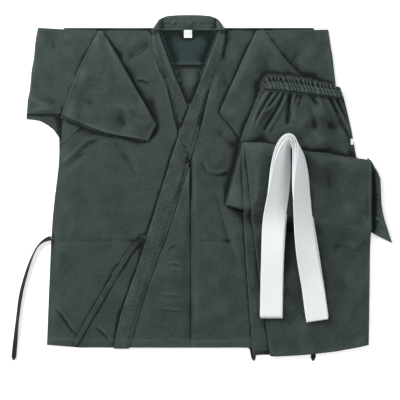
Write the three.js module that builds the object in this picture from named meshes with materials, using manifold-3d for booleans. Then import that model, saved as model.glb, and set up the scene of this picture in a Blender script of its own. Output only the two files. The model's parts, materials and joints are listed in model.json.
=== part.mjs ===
// A martial arts uniform laid out flat: a wrap-over jacket with both sleeves folded in, trousers
// folded in three on top of it, and a white belt on the trousers. Millimetres, +Z up off the table,
// +X towards the wearer's left, +Y towards the collar, origin at the middle of the underside.
import * as THREE from 'three';
import { mergeVertices } from 'three/addons/utils/BufferGeometryUtils.js';
import Module from 'manifold-3d';

const wasm = await Module();
wasm.setup();

// ---- driving dimensions -------------------------------------------------------------------------
const ply = 0.6;              // one thickness of cotton drill
const tube = 1.5;             // a sleeve or leg pressed flat: two plies and the air between them
const band = 1.8;             // the lapel, a strip folded over on itself
const gap = 0.3;              // clearance between layers that lie on each other
const seam = 0.4;             // clearance across a seam, measured along X
const foldInset = 0.4;        // a folded flap starts this far inside its fold line

const jacketX = -23.5;        // the jacket's centre line
const shoulderY = 291;
const hemY = -295;
const collarTopY = 320;
const yokeY = 228;            // lower edge of the lining inside the back of the neck
const overlapSeamU = 2.5;     // seam between a front and its overlap panel, from the centre line
const tieWidth = 9;
const tieRound = 5;           // radius of the sewn end that a tie swings on
const shinDrop = 9.3;         // how far the legs come down past the folded seat
const dropFromY = -108;
const dropToY = -195;

// Undersides of the layers, counted up from the table.
const z = {};
z.back = 0;
z.lining = z.back + ply + gap;
z.rightFront = z.lining + ply + gap;
z.leftFront = z.rightFront + band + gap;
z.rightForearm = z.rightFront + ply + gap;
z.rightCuff = z.rightForearm + tube + gap;
z.leftForearm = z.leftFront + ply + gap;
z.leftCuff = z.leftForearm + tube + gap;
z.underSeat = z.leftCuff + tube + gap;
z.topSeat = z.underSeat + tube + gap;
z.topMid = z.topSeat + tube + gap;
z.underMid = z.topMid + tube + gap;
z.underShin = z.underMid + tube + gap;
z.topShin = z.underShin + tube + gap;

const left = 1;               // the wearer's left, at +X
const right = -1;

// ---- finishes -----------------------------------------------------------------------------------
const finishes = {
  darkDrill: { color: 0x404b49, roughness: 0.92, metalness: 0 },
  bandDrill: { color: 0x3a4543, roughness: 0.9, metalness: 0 },
  lining: { color: 0x46514f, roughness: 0.95, metalness: 0 },
  whiteCotton: { color: 0xf2f4f4, roughness: 0.85, metalness: 0 },
  labelSatin: { color: 0xe9ebea, roughness: 0.6, metalness: 0 },
  elastic: { color: 0xd8d8d4, roughness: 0.8, metalness: 0 },
};

const uniform = new THREE.Group();

function addPiece(name, geometry, finish) {
  const mesh = new THREE.Mesh(geometry, new THREE.MeshStandardMaterial(finishes[finish]));
  mesh.name = name;
  uniform.add(mesh);
}

// ---- outlines -----------------------------------------------------------------------------------
// A smooth edge through a few points, as a chain of short straight steps.
function curve(points, stepsPerSpan = 2) {
  const through = points.map(([x, y]) => new THREE.Vector2(x, y));
  const steps = (points.length - 1) * stepsPerSpan;
  return new THREE.SplineCurve(through).getPoints(steps).map((p) => [p.x, p.y]);
}

function pointAtHeight(line, y) {
  for (let i = 1; i < line.length; i += 1) {
    const [[x0, y0], [x1, y1]] = [line[i - 1], line[i]];
    if ((y0 - y) * (y1 - y) <= 0 && y0 !== y1) {
      return [x0 + ((x1 - x0) * (y - y0)) / (y1 - y0), y];
    }
  }
  throw new Error(`no point at height ${y}`);
}

// The stretch of a falling edge between two heights, moved sideways by dx.
function between(line, top, bottom, dx = 0) {
  const inside = line.filter(([, y]) => y < top && y > bottom);
  const stretch = [pointAtHeight(line, top), ...inside, pointAtHeight(line, bottom)];
  return stretch.map(([x, y]) => [x + dx, y]);
}

// Points given as a distance u from the jacket's centre line, taken to one side of it.
function onSide(side, points) {
  return points.map(([u, y]) => [jacketX + side * u, y]);
}

function prism(points, bottom, height) {
  const shape = new THREE.Shape(points.map(([x, y]) => new THREE.Vector2(x, y)));
  const geometry = new THREE.ExtrudeGeometry(shape, { depth: height, bevelEnabled: false });
  geometry.translate(0, 0, bottom);
  return geometry;
}

// ---- solids cut by one another ------------------------------------------------------------------
function toManifold(geometry) {
  const bare = geometry.clone();
  bare.deleteAttribute('normal');
  bare.deleteAttribute('uv');
  const merged = mergeVertices(bare, 1e-4);
  const vertProperties = new Float32Array(merged.attributes.position.array);
  const triVerts = new Uint32Array(merged.index.array);
  return new wasm.Manifold(new wasm.Mesh({ numProp: 3, vertProperties, triVerts }));
}

function fromManifold(solid) {
  const mesh = solid.getMesh();
  const geometry = new THREE.BufferGeometry();
  geometry.setAttribute('position', new THREE.BufferAttribute(mesh.vertProperties, 3));
  geometry.setIndex(new THREE.BufferAttribute(mesh.triVerts, 1));
  return geometry;
}

// A layer that lies level on the folded seat and comes down below it, cut to an outline.
function drapedLayer(points, bottom, thickness) {
  const reach = 400;
  const lowered = bottom - shinDrop;
  const underside = [[reach, bottom], [dropFromY, bottom], [dropToY, lowered], [-reach, lowered]];
  const upside = underside.map(([y, height]) => [y, height + thickness]).reverse();
  const ribbon = prism([...underside, ...upside], -reach, 2 * reach);
  const axes = [[0, 1, 0], [0, 0, 1], [1, 0, 0]].map((v) => new THREE.Vector3(...v));
  ribbon.applyMatrix4(new THREE.Matrix4().makeBasis(...axes));
  const cutter = prism(points, 0, reach);
  return fromManifold(toManifold(ribbon).intersect(toManifold(cutter)));
}

// ---- jacket -------------------------------------------------------------------------------------
const sideSeam = curve([[239.5, 85], [240.5, 43], [248.5, -22], [254.5, -96], [262.5, -290]]);
const armholeU = 239.5;
const lapelEdge = curve([[55.5, 311], [55, 290], [41.5, 252], [20.5, 196], [-2.5, 139], [-16.5, 104],
  [-56.5, -22], [-93.5, -142], [-125.5, -232], [-138.5, -297]]);
const lapelSeam = curve([[65.5, 311], [70, 274], [57.5, 226], [35.5, 178], [21.5, 117], [-8.5, 15],
  [-38.5, -80], [-77.5, -183], [-110.5, -297]]);
const gussetU = { top: [armholeU, 130], tip: [196, 117], bottom: [239.5, 78] };

function buildBack() {
  const rightEdge = onSide(right, [[armholeU, shoulderY], ...sideSeam]);
  const leftEdge = onSide(left, [[armholeU, shoulderY], ...sideSeam]);
  const outline = [...rightEdge, [jacketX - 200, hemY], [jacketX + 200, hemY], ...leftEdge.reverse()];
  addPiece('jacket_back_panel', prism(outline, z.back, ply), 'darkDrill');

  const yokeHalf = armholeU - 8;
  const yoke = onSide(left, [[-yokeHalf, yokeY], [yokeHalf, yokeY], [yokeHalf, 288], [-yokeHalf, 288]]);
  addPiece('back_yoke_lining', prism(yoke, z.lining, ply), 'lining');

  const collarHalf = 54.5;
  const collarFootY = shoulderY + 2.3;
  const top = curve([[-collarHalf, 311], [-40, 318], [0, collarTopY], [40, 318], [collarHalf, 311]]);
  const collar = onSide(left, [[-collarHalf, collarFootY], ...top, [collarHalf, collarFootY]]);
  addPiece('collar_back_neck', prism(collar, z.back, band), 'bandDrill');
}

function buildNeckLabel() {
  const [x0, x1] = [-32.5, -17.5];
  const [bottomY, topY] = [277.5, 291.8];
  const outline = [[x0, bottomY], [x1, bottomY], [x1, topY], [x0, topY]];
  addPiece('neck_label', prism(outline, z.rightFront, 0.4), 'labelSatin');
}

// One front: the main panel with its shoulder, its underarm gusset, the overlap panel and the lapel.
function buildFront(side, word, bottom) {
  const { top, tip, bottom: foot } = gussetU;
  const sweep = between(sideSeam, foot[1] - 1.5, -290, -0.3);
  const seamTopY = 50;
  const panel = [[armholeU - 0.3, shoulderY], [armholeU - 0.3, top[1] + 1], [tip[0] - 1.5, tip[1]],
    ...sweep, [200, hemY], [overlapSeamU, hemY], [overlapSeamU + seam, seamTopY],
    ...between(lapelSeam, shoulderY, seamTopY + 2, seam).reverse()];
  addPiece(`jacket_${word}_front`, prism(onSide(side, panel), bottom, ply), 'darkDrill');

  const overlap = [[overlapSeamU - seam, seamTopY - 12], [overlapSeamU - seam, hemY],
    ...between(lapelSeam, seamTopY - 12, hemY, seam).reverse()];
  addPiece(`${word}_overlap_panel`, prism(onSide(side, overlap), bottom, ply), 'darkDrill');

  const inner = between(lapelEdge, 311, -297);
  const outer = between(lapelSeam, shoulderY, -297).reverse();
  addPiece(`${word}_lapel`, prism(onSide(side, [...inner, ...outer]), bottom, band), 'bandDrill');

  const gusset = onSide(side, [[top[0] - 0.3, top[1]], tip, [foot[0] - 0.3, foot[1]]]);
  addPiece(`${word}_underarm_gusset`, prism(gusset, bottom, ply), 'darkDrill');
}

function buildRightSleeve() {
  const armhole = jacketX - armholeU - seam;
  const underarm = curve([[-325, 127], [-299, 124], [-273, 107], [armhole, 88]]);
  const upper = [[armhole, shoulderY], [-302, 296], ...underarm];
  const frontTop = z.rightFront + ply;
  addPiece('right_sleeve_upper', prism(upper, z.back, frontTop), 'darkDrill');

  const forearm = [[-302 + foldInset, 296], [-182, 289], [-86, 120], [-258, 137],
    [-323.6 + foldInset, 137]];
  addPiece('right_sleeve_forearm', prism(forearm, z.rightForearm, tube), 'darkDrill');

  const cuffEdge = curve([[-99, 87], [-132, 94], [-178, 102], [-225, 120], [-258, 134]]);
  const backEdge = curve([[-258, 134], [-240, 185], [-216, 240], [-190, 289]]).slice(1);
  const cuff = [[-182 - foldInset, 289], [-84.2 - foldInset, 117], ...cuffEdge, ...backEdge];
  addPiece('right_sleeve_cuff', prism(cuff, z.rightCuff, tube), 'darkDrill');
}

function buildLeftSleeve() {
  const armhole = jacketX + armholeU + seam;
  const underarm = curve([[256, 130], [241, 122], [226, 108], [armhole, 88]]);
  const upper = [[armhole, shoulderY], [234, 293], ...underarm];
  const frontTop = z.leftFront + ply;
  addPiece('left_sleeve_upper', prism(upper, z.back, frontTop), 'darkDrill');

  const forearm = [[234, 293], [101, 289], [34, 141], [36, 136], [255, 130]];
  addPiece('left_sleeve_forearm', prism(forearm, z.leftForearm, tube), 'darkDrill');

  const cuff = [[101, 289], [34, 141], [71, 92], [103, 46], [228, 157], [154, 237], [116, 290]];
  addPiece('left_sleeve_cuff', prism(cuff, z.leftCuff, tube), 'darkDrill');
}

// ---- ties ---------------------------------------------------------------------------------------
// A tape along a smooth route, with a round end of its own radius at the start when one is given.
function tapeOutline(route, width, startRadius = 0) {
  const through = route.map(([x, y]) => new THREE.Vector2(x, y));
  const line = new THREE.SplineCurve(through);
  const steps = 14;
  const sides = [[], []];
  const first = startRadius ? 1 : 0;
  for (let i = first; i <= steps; i += 1) {
    const at = line.getPoint(i / steps);
    const ahead = line.getTangent(i / steps);
    sides[0].push([at.x - (ahead.y * width) / 2, at.y + (ahead.x * width) / 2]);
    sides[1].push([at.x + (ahead.y * width) / 2, at.y - (ahead.x * width) / 2]);
  }
  const cap = [];
  if (startRadius) {
    const ahead = line.getTangent(0);
    const heading = Math.atan2(ahead.y, ahead.x);
    for (let i = 0; i <= 8; i += 1) {
      const turn = heading - Math.PI / 2 - (i / 8) * Math.PI;
      cap.push([route[0][0] + startRadius * Math.cos(turn), route[0][1] + startRadius * Math.sin(turn)]);
    }
  }
  return [...cap, ...sides[0], ...sides[1].reverse()];
}

function buildTies() {
  const sideRoute = [[-284.4, -99], [-303, -104], [-318, -121], [-332, -165], [-341, -215], [-347.5, -318]];
  addPiece('right_side_tie', prism(tapeOutline(sideRoute, tieWidth, tieRound), z.back, ply), 'darkDrill');

  const frontRoute = [[-111, -96], [-124, -103], [-139, -120], [-170, -173], [-203, -232], [-235, -291]];
  const frontTie = tapeOutline(frontRoute, tieWidth, tieRound);
  addPiece('left_front_tie', prism(frontTie, z.rightForearm, ply), 'darkDrill');

  const innerLeft = tapeOutline([[226, -96], [222, -170], [212, -250], [206, -319.7]], tieWidth);
  addPiece('inner_left_side_tie', prism(innerLeft, z.lining, ply), 'darkDrill');
  const innerRight = tapeOutline([[62, -96], [72, -170], [86, -250], [97, -319.2]], tieWidth);
  addPiece('inner_right_front_tie', prism(innerRight, z.lining, ply), 'darkDrill');
}

// ---- trousers -----------------------------------------------------------------------------------
const legRightX = 312;
const upperFold = [[286, 54], [193, 68], [117, 82]];

function buildWaistband() {
  const foot = curve([[112.5, 182], [154, 179], [210, 172], [261, 166.5]]);
  const top = curve([[256, 186], [219, 192], [182, 200], [130, 205], [119, 202], [112, 190]]);
  const casing = (z.topMid - gap - z.underSeat - 2 * gap - ply) / 2;
  addPiece('waistband_back', prism([...foot, ...top], z.underSeat, casing), 'darkDrill');
  const strip = [[116, 184], [255, 170], [253, 183], [182, 196], [119, 198]];
  addPiece('waist_elastic', prism(strip, z.underSeat + casing + gap, ply), 'elastic');
  const front = z.underSeat + casing + ply + 2 * gap;
  addPiece('waistband_front', prism([...foot, ...top], front, casing), 'darkDrill');
}

function buildSeat() {
  const hip = curve([[112.5, 181.2], [90, 135], [75, 94], [66, 52], [44, -32]]);
  const fold = [[77, -38], [legRightX, -82.5]];
  const sideEdge = [[legRightX, 52], ...curve([[286, 54], [277, 107], [261, 166]])];
  const foot = curve([[261, 166], [210, 171.5], [154, 178.5], [112.5, 181.2]]).slice(1, -1);
  const outline = [...hip, ...fold, ...sideEdge, ...foot];
  addPiece('under_leg_seat', prism(outline, z.underSeat, tube), 'darkDrill');
  addPiece('top_leg_seat', prism(outline, z.topSeat, tube), 'darkDrill');

  const outer = curve([[321, 35], [330, 17], [332, -28], [338, -59], [352, -102]]);
  const gusset = [[legRightX + seam, 52], ...outer, [legRightX + seam, -82.5]];
  addPiece('crotch_gusset', prism(gusset, z.underSeat, 2 * tube + gap), 'darkDrill');
}

function buildMid() {
  const outline = [[46, -33], [77, -38.5], [legRightX, -82], [legRightX, 51], ...upperFold, [77, 84]];
  addPiece('top_leg_mid', prism(outline, z.topMid, tube), 'darkDrill');
  addPiece('under_leg_mid', prism(outline, z.underMid, tube), 'darkDrill');
}

function buildShins() {
  const rightEdge = [[legRightX, -81], [legRightX, 52], ...upperFold];
  const topFoot = curve([[127, -311], [164, -310], [247, -302], [309, -290]]);
  const topEdge = curve([[79, 83], [86, 24], [95, -78], [127, -311]]).slice(0, -1);
  const topLeg = [...topEdge, ...topFoot, ...rightEdge];
  addPiece('top_leg_shin', drapedLayer(topLeg, z.topShin, tube), 'darkDrill');
  const underFoot = curve([[95, -309], [164, -306], [247, -299], [309, -288]]);
  const underEdge = curve([[74, 82], [77, -22], [82, -133], [95, -309]]).slice(0, -1);
  const underLeg = [...underEdge, ...underFoot, ...rightEdge];
  addPiece('under_leg_shin', drapedLayer(underLeg, z.underShin, tube), 'darkDrill');
}

function buildSideLabel() {
  const outline = [[275.5, 80], [280.6, 80], [280.6, 91], [275.5, 91]];
  addPiece('trousers_side_label', prism(outline, z.topMid, 0.4), 'labelSatin');
}

// ---- belt ---------------------------------------------------------------------------------------
// The strap is folded into a hank of plies and bent over in the middle. It stands on edge round the
// bend, with its upper edge at the wearer's right, and leans down until both legs lie flat.
const hankPlies = 4;
const bendSpread = 2.2;       // how far the plies part round the bend, as a multiple of the legs' thickness

// Across the strap at each place: the upper edge, then the lower edge.
const hankRoute = [
  [[108, -238, 14.1], [148, -238, 14.1]],
  [[109, -175, 17.4], [149, -175, 17.4]],
  [[110, -112, 24], [150, -112, 24]],
  [[112, -59, 28], [151.5, -59, 23.3]],
  [[120, -4, 46], [152, -4, 23.3]],
  [[128, 40, 54], [152, 40, 23]],
  [[139, 72, 61], [150, 66, 23]],
  [[157, 90, 62.5], [160, 84, 23]],
  [[172, 70, 62], [184, 66, 23]],
  [[174, 33, 57], [192, 33, 23]],
  [[174, -4, 53], [199, -4, 23.3]],
  [[175, -59, 43], [207, -59, 23.3]],
  [[179, -115, 34], [215.5, -115, 23.6]],
  [[183, -170, 22], [223, -170, 18.2]],
  [[193, -245, 14.1], [233, -239, 14.1]],
];

function buildBelt() {
  const [upper, lower] = [0, 1].map((edge) => new THREE.CatmullRomCurve3(
    hankRoute.map((place) => new THREE.Vector3(...place[edge])), false, 'centripetal'));
  const thickness = hankPlies * band + (hankPlies - 1) * gap;
  const hank = new THREE.BoxGeometry(1, 1, thickness, 1, 3 * hankRoute.length, 1);
  const corner = hank.attributes.position;
  for (let i = 0; i < corner.count; i += 1) {
    const along = 0.5 - corner.getY(i);
    const top = upper.getPoint(along);
    const foot = lower.getPoint(along);
    const across = top.clone().sub(foot);
    const ahead = upper.getTangent(along).add(lower.getTangent(along));
    const outward = ahead.cross(across).normalize();
    const spread = 1 + (bendSpread - 1) * Math.sin(Math.PI * along) ** 8;
    const place = foot.addScaledVector(across, corner.getX(i) + 0.5);
    place.addScaledVector(outward, corner.getZ(i) * spread);
    corner.setXYZ(i, place.x, place.y, place.z);
  }
  addPiece('belt', hank, 'whiteCotton');
}

buildBack();
buildNeckLabel();
buildFront(right, 'right', z.rightFront);
buildFront(left, 'left', z.leftFront);
buildRightSleeve();
buildLeftSleeve();
buildTies();
buildWaistband();
buildSeat();
buildMid();
buildShins();
buildSideLabel();
buildBelt();

export default uniform;
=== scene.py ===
"""A martial arts uniform laid out flat, dressed as cloth.

The jacket lies face up with both sleeves folded in, the trousers lie on its left half folded in
three, and the white belt lies on the trousers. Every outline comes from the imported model's own
pieces. Lengths are millimetres unless a name says otherwise, and meshes are made in metres.
"""
import json
import logging
import math
from collections.abc import Callable
from dataclasses import dataclass, field, replace
from enum import Enum

import bmesh
import bpy
import numpy as np
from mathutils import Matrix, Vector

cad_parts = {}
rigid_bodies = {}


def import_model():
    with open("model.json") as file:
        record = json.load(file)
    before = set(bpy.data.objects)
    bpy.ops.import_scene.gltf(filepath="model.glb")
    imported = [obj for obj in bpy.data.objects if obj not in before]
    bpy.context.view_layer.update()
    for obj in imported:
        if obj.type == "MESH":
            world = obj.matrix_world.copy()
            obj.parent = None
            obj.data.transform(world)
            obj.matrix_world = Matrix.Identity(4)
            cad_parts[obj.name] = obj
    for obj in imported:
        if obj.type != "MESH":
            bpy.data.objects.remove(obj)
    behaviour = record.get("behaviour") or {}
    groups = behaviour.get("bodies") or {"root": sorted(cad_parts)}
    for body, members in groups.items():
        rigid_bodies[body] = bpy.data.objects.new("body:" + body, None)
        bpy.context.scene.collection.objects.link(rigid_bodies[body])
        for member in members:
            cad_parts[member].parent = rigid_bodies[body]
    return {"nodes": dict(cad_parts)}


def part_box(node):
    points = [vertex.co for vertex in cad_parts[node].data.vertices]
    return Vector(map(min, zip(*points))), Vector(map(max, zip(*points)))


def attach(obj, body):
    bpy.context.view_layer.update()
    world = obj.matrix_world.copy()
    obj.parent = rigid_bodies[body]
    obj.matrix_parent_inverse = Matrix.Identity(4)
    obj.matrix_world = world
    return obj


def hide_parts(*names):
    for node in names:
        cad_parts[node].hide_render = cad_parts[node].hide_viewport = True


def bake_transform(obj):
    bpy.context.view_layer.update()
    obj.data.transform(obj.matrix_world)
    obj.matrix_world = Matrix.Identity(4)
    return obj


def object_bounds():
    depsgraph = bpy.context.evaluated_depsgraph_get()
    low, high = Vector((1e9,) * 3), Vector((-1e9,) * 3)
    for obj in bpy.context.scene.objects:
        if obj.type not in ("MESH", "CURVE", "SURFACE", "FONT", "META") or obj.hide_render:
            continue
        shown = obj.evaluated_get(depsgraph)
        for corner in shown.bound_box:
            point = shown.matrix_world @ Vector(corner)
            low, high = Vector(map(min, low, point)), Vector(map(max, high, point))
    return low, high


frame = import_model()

RELIEF = 3.0
"""How many times higher the folds and waves stand than their own numbers say."""
CAD_BOX = [list(corner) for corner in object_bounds()]
"""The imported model's box in metres, measured before any cloth is made."""
MM = 0.001
"""One millimetre in metres."""
log = logging.getLogger("uniform")

Grid = np.ndarray
Points = tuple[tuple[float, float], ...]


# ---- finishes ----------------------------------------------------------------------------------
class Slot(Enum):
    """The record's material slots."""

    DRILL = "dark_drill"
    BAND = "band_drill"
    LINING = "lining"
    COTTON = "white_cotton"
    SATIN = "label_satin"
    ELASTIC = "elastic"


class Weave(Enum):
    """How the yarns of a cloth cross, as the size in metres of one repeat along and across."""

    DRILL = (0.0011, 0.0011)
    PLAIN = (0.0009, 0.0009)
    QUILTED = (0.0012, 0.0046)
    SATIN = (0.0004, 0.0016)
    RIBBED = (0.0030, 0.0007)


@dataclass(frozen=True)
class Finish:
    """One finish of cloth.

    Attributes:
        name: the material's name.
        slot: the record's slot that it belongs to.
        deep: the darker end of the uneven dye, linear; for all but the belt cotton, the painted shade in
            creases is 0.3 times it.
        pale: the paler end, linear, reached where the dye is uneven, at abrasion and where highlight is
            painted.
        weave: how its yarns cross.
        depth: how deep the weave reads, in metres.
        roughness: the plain roughness.
        sheen: how strongly the loose fibres catch light at a slant.
    """

    name: str
    slot: Slot
    deep: tuple[float, float, float]
    pale: tuple[float, float, float]
    weave: Weave
    depth: float
    roughness: float
    sheen: float

    def material(self) -> bpy.types.Material:
        """The finish's material, made the first time it is asked for."""
        found = bpy.data.materials.get(self.name)
        return found or dress_cloth(self)


DRILL = Finish("drill_cloth", Slot.DRILL, (0.0125, 0.0190, 0.0175), (0.074, 0.102, 0.0975),
               Weave.DRILL, 0.00012, 0.93, 0.04)
BAND = Finish("band_cloth", Slot.BAND, (0.0115, 0.0175, 0.0160), (0.071, 0.097, 0.092),
              Weave.DRILL, 0.00014, 0.9, 0.04)
LINING = Finish("lining_cloth", Slot.LINING, (0.0105, 0.0205, 0.0205), (0.052, 0.084, 0.082),
                Weave.PLAIN, 0.0001, 0.95, 0.03)
COTTON = Finish("belt_cotton", Slot.COTTON, (0.86, 0.89, 0.90), (0.93, 0.955, 0.96),
                Weave.QUILTED, 0.00022, 0.85, 0.0)
THREAD = Finish("sewing_thread", Slot.DRILL, (0.055, 0.073, 0.070), (0.145, 0.175, 0.168),
                Weave.RIBBED, 0.00005, 0.7, 0.03)
WHITE_THREAD = Finish("belt_thread", Slot.COTTON, (0.80, 0.83, 0.84), (0.90, 0.92, 0.93),
                      Weave.RIBBED, 0.00005, 0.7, 0.0)
SATIN = Finish("label_weave", Slot.SATIN, (0.80, 0.83, 0.84), (0.90, 0.92, 0.93),
               Weave.SATIN, 0.00005, 0.5, 0.02)
ELASTIC = Finish("elastic_weave", Slot.ELASTIC, (0.60, 0.60, 0.58), (0.74, 0.74, 0.72),
                 Weave.RIBBED, 0.0002, 0.8, 0.02)


DYE_NOISE = ((9.0, 0.5), (34.0, 0.8), (240.0, 1.1), (700.0, 1.8))
"""The sizes of the blotches in the dye, as how many fit in a metre, and how strong each is."""


class NodeTree:
    """A node tree that is being built, with short ways to add and join nodes."""

    def __init__(self, tree: bpy.types.NodeTree) -> None:
        """Starts on a tree.

        Args:
            tree: the tree to add to.
        """
        self.tree = tree

    def add(self, kind: str, label: str = "", **settings: object) -> bpy.types.Node:
        """Adds a node.

        Args:
            kind: the node's type.
            label: what the node is for.
            settings: properties to set on it.

        Returns:
            The new node.
        """
        node = self.tree.nodes.new(kind)
        node.label = label
        for key, value in settings.items():
            setattr(node, key, value)
        return node

    def join(self, source: bpy.types.NodeSocket, target: bpy.types.NodeSocket) -> None:
        """Links one socket to another."""
        self.tree.links.new(source, target)

    def maths(self, operation: str, first: object, second: object = None) -> bpy.types.NodeSocket:
        """A Math node.

        Args:
            operation: what it does.
            first: a socket or a number.
            second: a socket, a number or nothing.

        Returns:
            The node's output socket.
        """
        node = self.add("ShaderNodeMath", operation=operation)
        for index, value in enumerate((first, second)):
            if isinstance(value, bpy.types.NodeSocket):
                self.join(value, node.inputs[index])
            elif value is not None:
                node.inputs[index].default_value = value
        return node.outputs[0]


def new_group(name: str, inputs: dict[str, tuple[str, float | None]],
              outputs: dict[str, str]) -> tuple[NodeTree, bpy.types.Node, bpy.types.Node]:
    """An empty shader node group with named sockets.

    Args:
        name: the group's name.
        inputs: each input's socket type and default.
        outputs: each output's socket type.

    Returns:
        The tree, its input node and its output node.
    """
    tree = bpy.data.node_groups.new(name, "ShaderNodeTree")
    for title, (kind, default) in inputs.items():
        socket = tree.interface.new_socket(name=title, in_out="INPUT", socket_type=kind)
        if default is not None:
            socket.default_value = default
    for title, kind in outputs.items():
        tree.interface.new_socket(name=title, in_out="OUTPUT", socket_type=kind)
    nodes = NodeTree(tree)
    return nodes, nodes.add("NodeGroupInput"), nodes.add("NodeGroupOutput")


def weave_group() -> bpy.types.NodeTree:
    """The group that makes crossed yarns: a height, and a shade for the hollows between them.

    Returns:
        The node group, with inputs Place, Along, Across and Slub and outputs Height and Shade.
    """
    found = bpy.data.node_groups.get("cloth_weave")
    if found:
        return found
    nodes, inputs, outputs = new_group(
        "cloth_weave",
        {"Place": ("NodeSocketVector", None), "Along": ("NodeSocketFloat", 0.001),
         "Across": ("NodeSocketFloat", 0.001), "Slub": ("NodeSocketFloat", 0.3)},
        {"Height": "NodeSocketFloat", "Shade": "NodeSocketFloat"})
    split = nodes.add("ShaderNodeSeparateXYZ")
    nodes.join(inputs.outputs["Place"], split.inputs[0])
    slub = nodes.add("ShaderNodeTexNoise", "uneven yarn")
    nodes.join(inputs.outputs["Place"], slub.inputs["Vector"])
    slub.inputs["Scale"].default_value = 420.0
    slub.inputs["Detail"].default_value = 2.0
    drift = nodes.maths("MULTIPLY", slub.outputs["Fac"], inputs.outputs["Slub"])
    turns = []
    for axis, size in (("X", "Along"), ("Y", "Across")):
        share = nodes.maths("DIVIDE", split.outputs[axis], inputs.outputs[size])
        turns.append(nodes.maths("MULTIPLY", nodes.maths("ADD", share, drift), 2 * math.pi))
    across = nodes.maths("SINE", turns[0])
    along = nodes.maths("SINE", turns[1])
    rib = nodes.maths("SINE", nodes.maths("ADD", turns[0], turns[1]))
    cross = nodes.maths("MULTIPLY", across, along)
    mixed = nodes.maths("ADD", nodes.maths("MULTIPLY", cross, 0.5), nodes.maths("MULTIPLY", rib, 0.5))
    height = nodes.maths("ADD", nodes.maths("MULTIPLY", mixed, 0.5), 0.5)
    nodes.join(height, outputs.inputs["Height"])
    nodes.join(nodes.maths("POWER", height, 0.5), outputs.inputs["Shade"])
    return nodes.tree


def wear_group() -> bpy.types.NodeTree:
    """The group that makes uneven dye, and paler places that are partly abrasion and partly painted
    highlight.

    Returns:
        The node group, with inputs Place, the abrasion-and-painted-highlight amount and Unevenness, and the
        output Paleness.
    """
    found = bpy.data.node_groups.get("cloth_wear")
    if found:
        return found
    nodes, inputs, outputs = new_group(
        "cloth_wear",
        {"Place": ("NodeSocketVector", None), "Rubbed": ("NodeSocketFloat", 0.0),
         "Unevenness": ("NodeSocketFloat", 0.5)},
        {"Paleness": "NodeSocketFloat"})
    total = None
    for scale, strength in DYE_NOISE:
        noise = nodes.add("ShaderNodeTexNoise", f"dye at {scale:g} per metre")
        nodes.join(inputs.outputs["Place"], noise.inputs["Vector"])
        noise.inputs["Scale"].default_value = scale
        noise.inputs["Detail"].default_value = 3.0
        centred = nodes.maths("SUBTRACT", noise.outputs["Fac"], 0.5)
        part = nodes.maths("MULTIPLY", centred, strength)
        total = part if total is None else nodes.maths("ADD", total, part)
    uneven = nodes.maths("MULTIPLY", total, inputs.outputs["Unevenness"])
    wear_and_highlight = nodes.maths("MULTIPLY", inputs.outputs["Rubbed"], 0.6)
    level = nodes.maths("ADD", nodes.maths("ADD", uneven, wear_and_highlight), 0.45)
    clamp = nodes.add("ShaderNodeClamp")
    nodes.join(level, clamp.inputs["Value"])
    nodes.join(clamp.outputs[0], outputs.inputs["Paleness"])
    return nodes.tree


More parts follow.
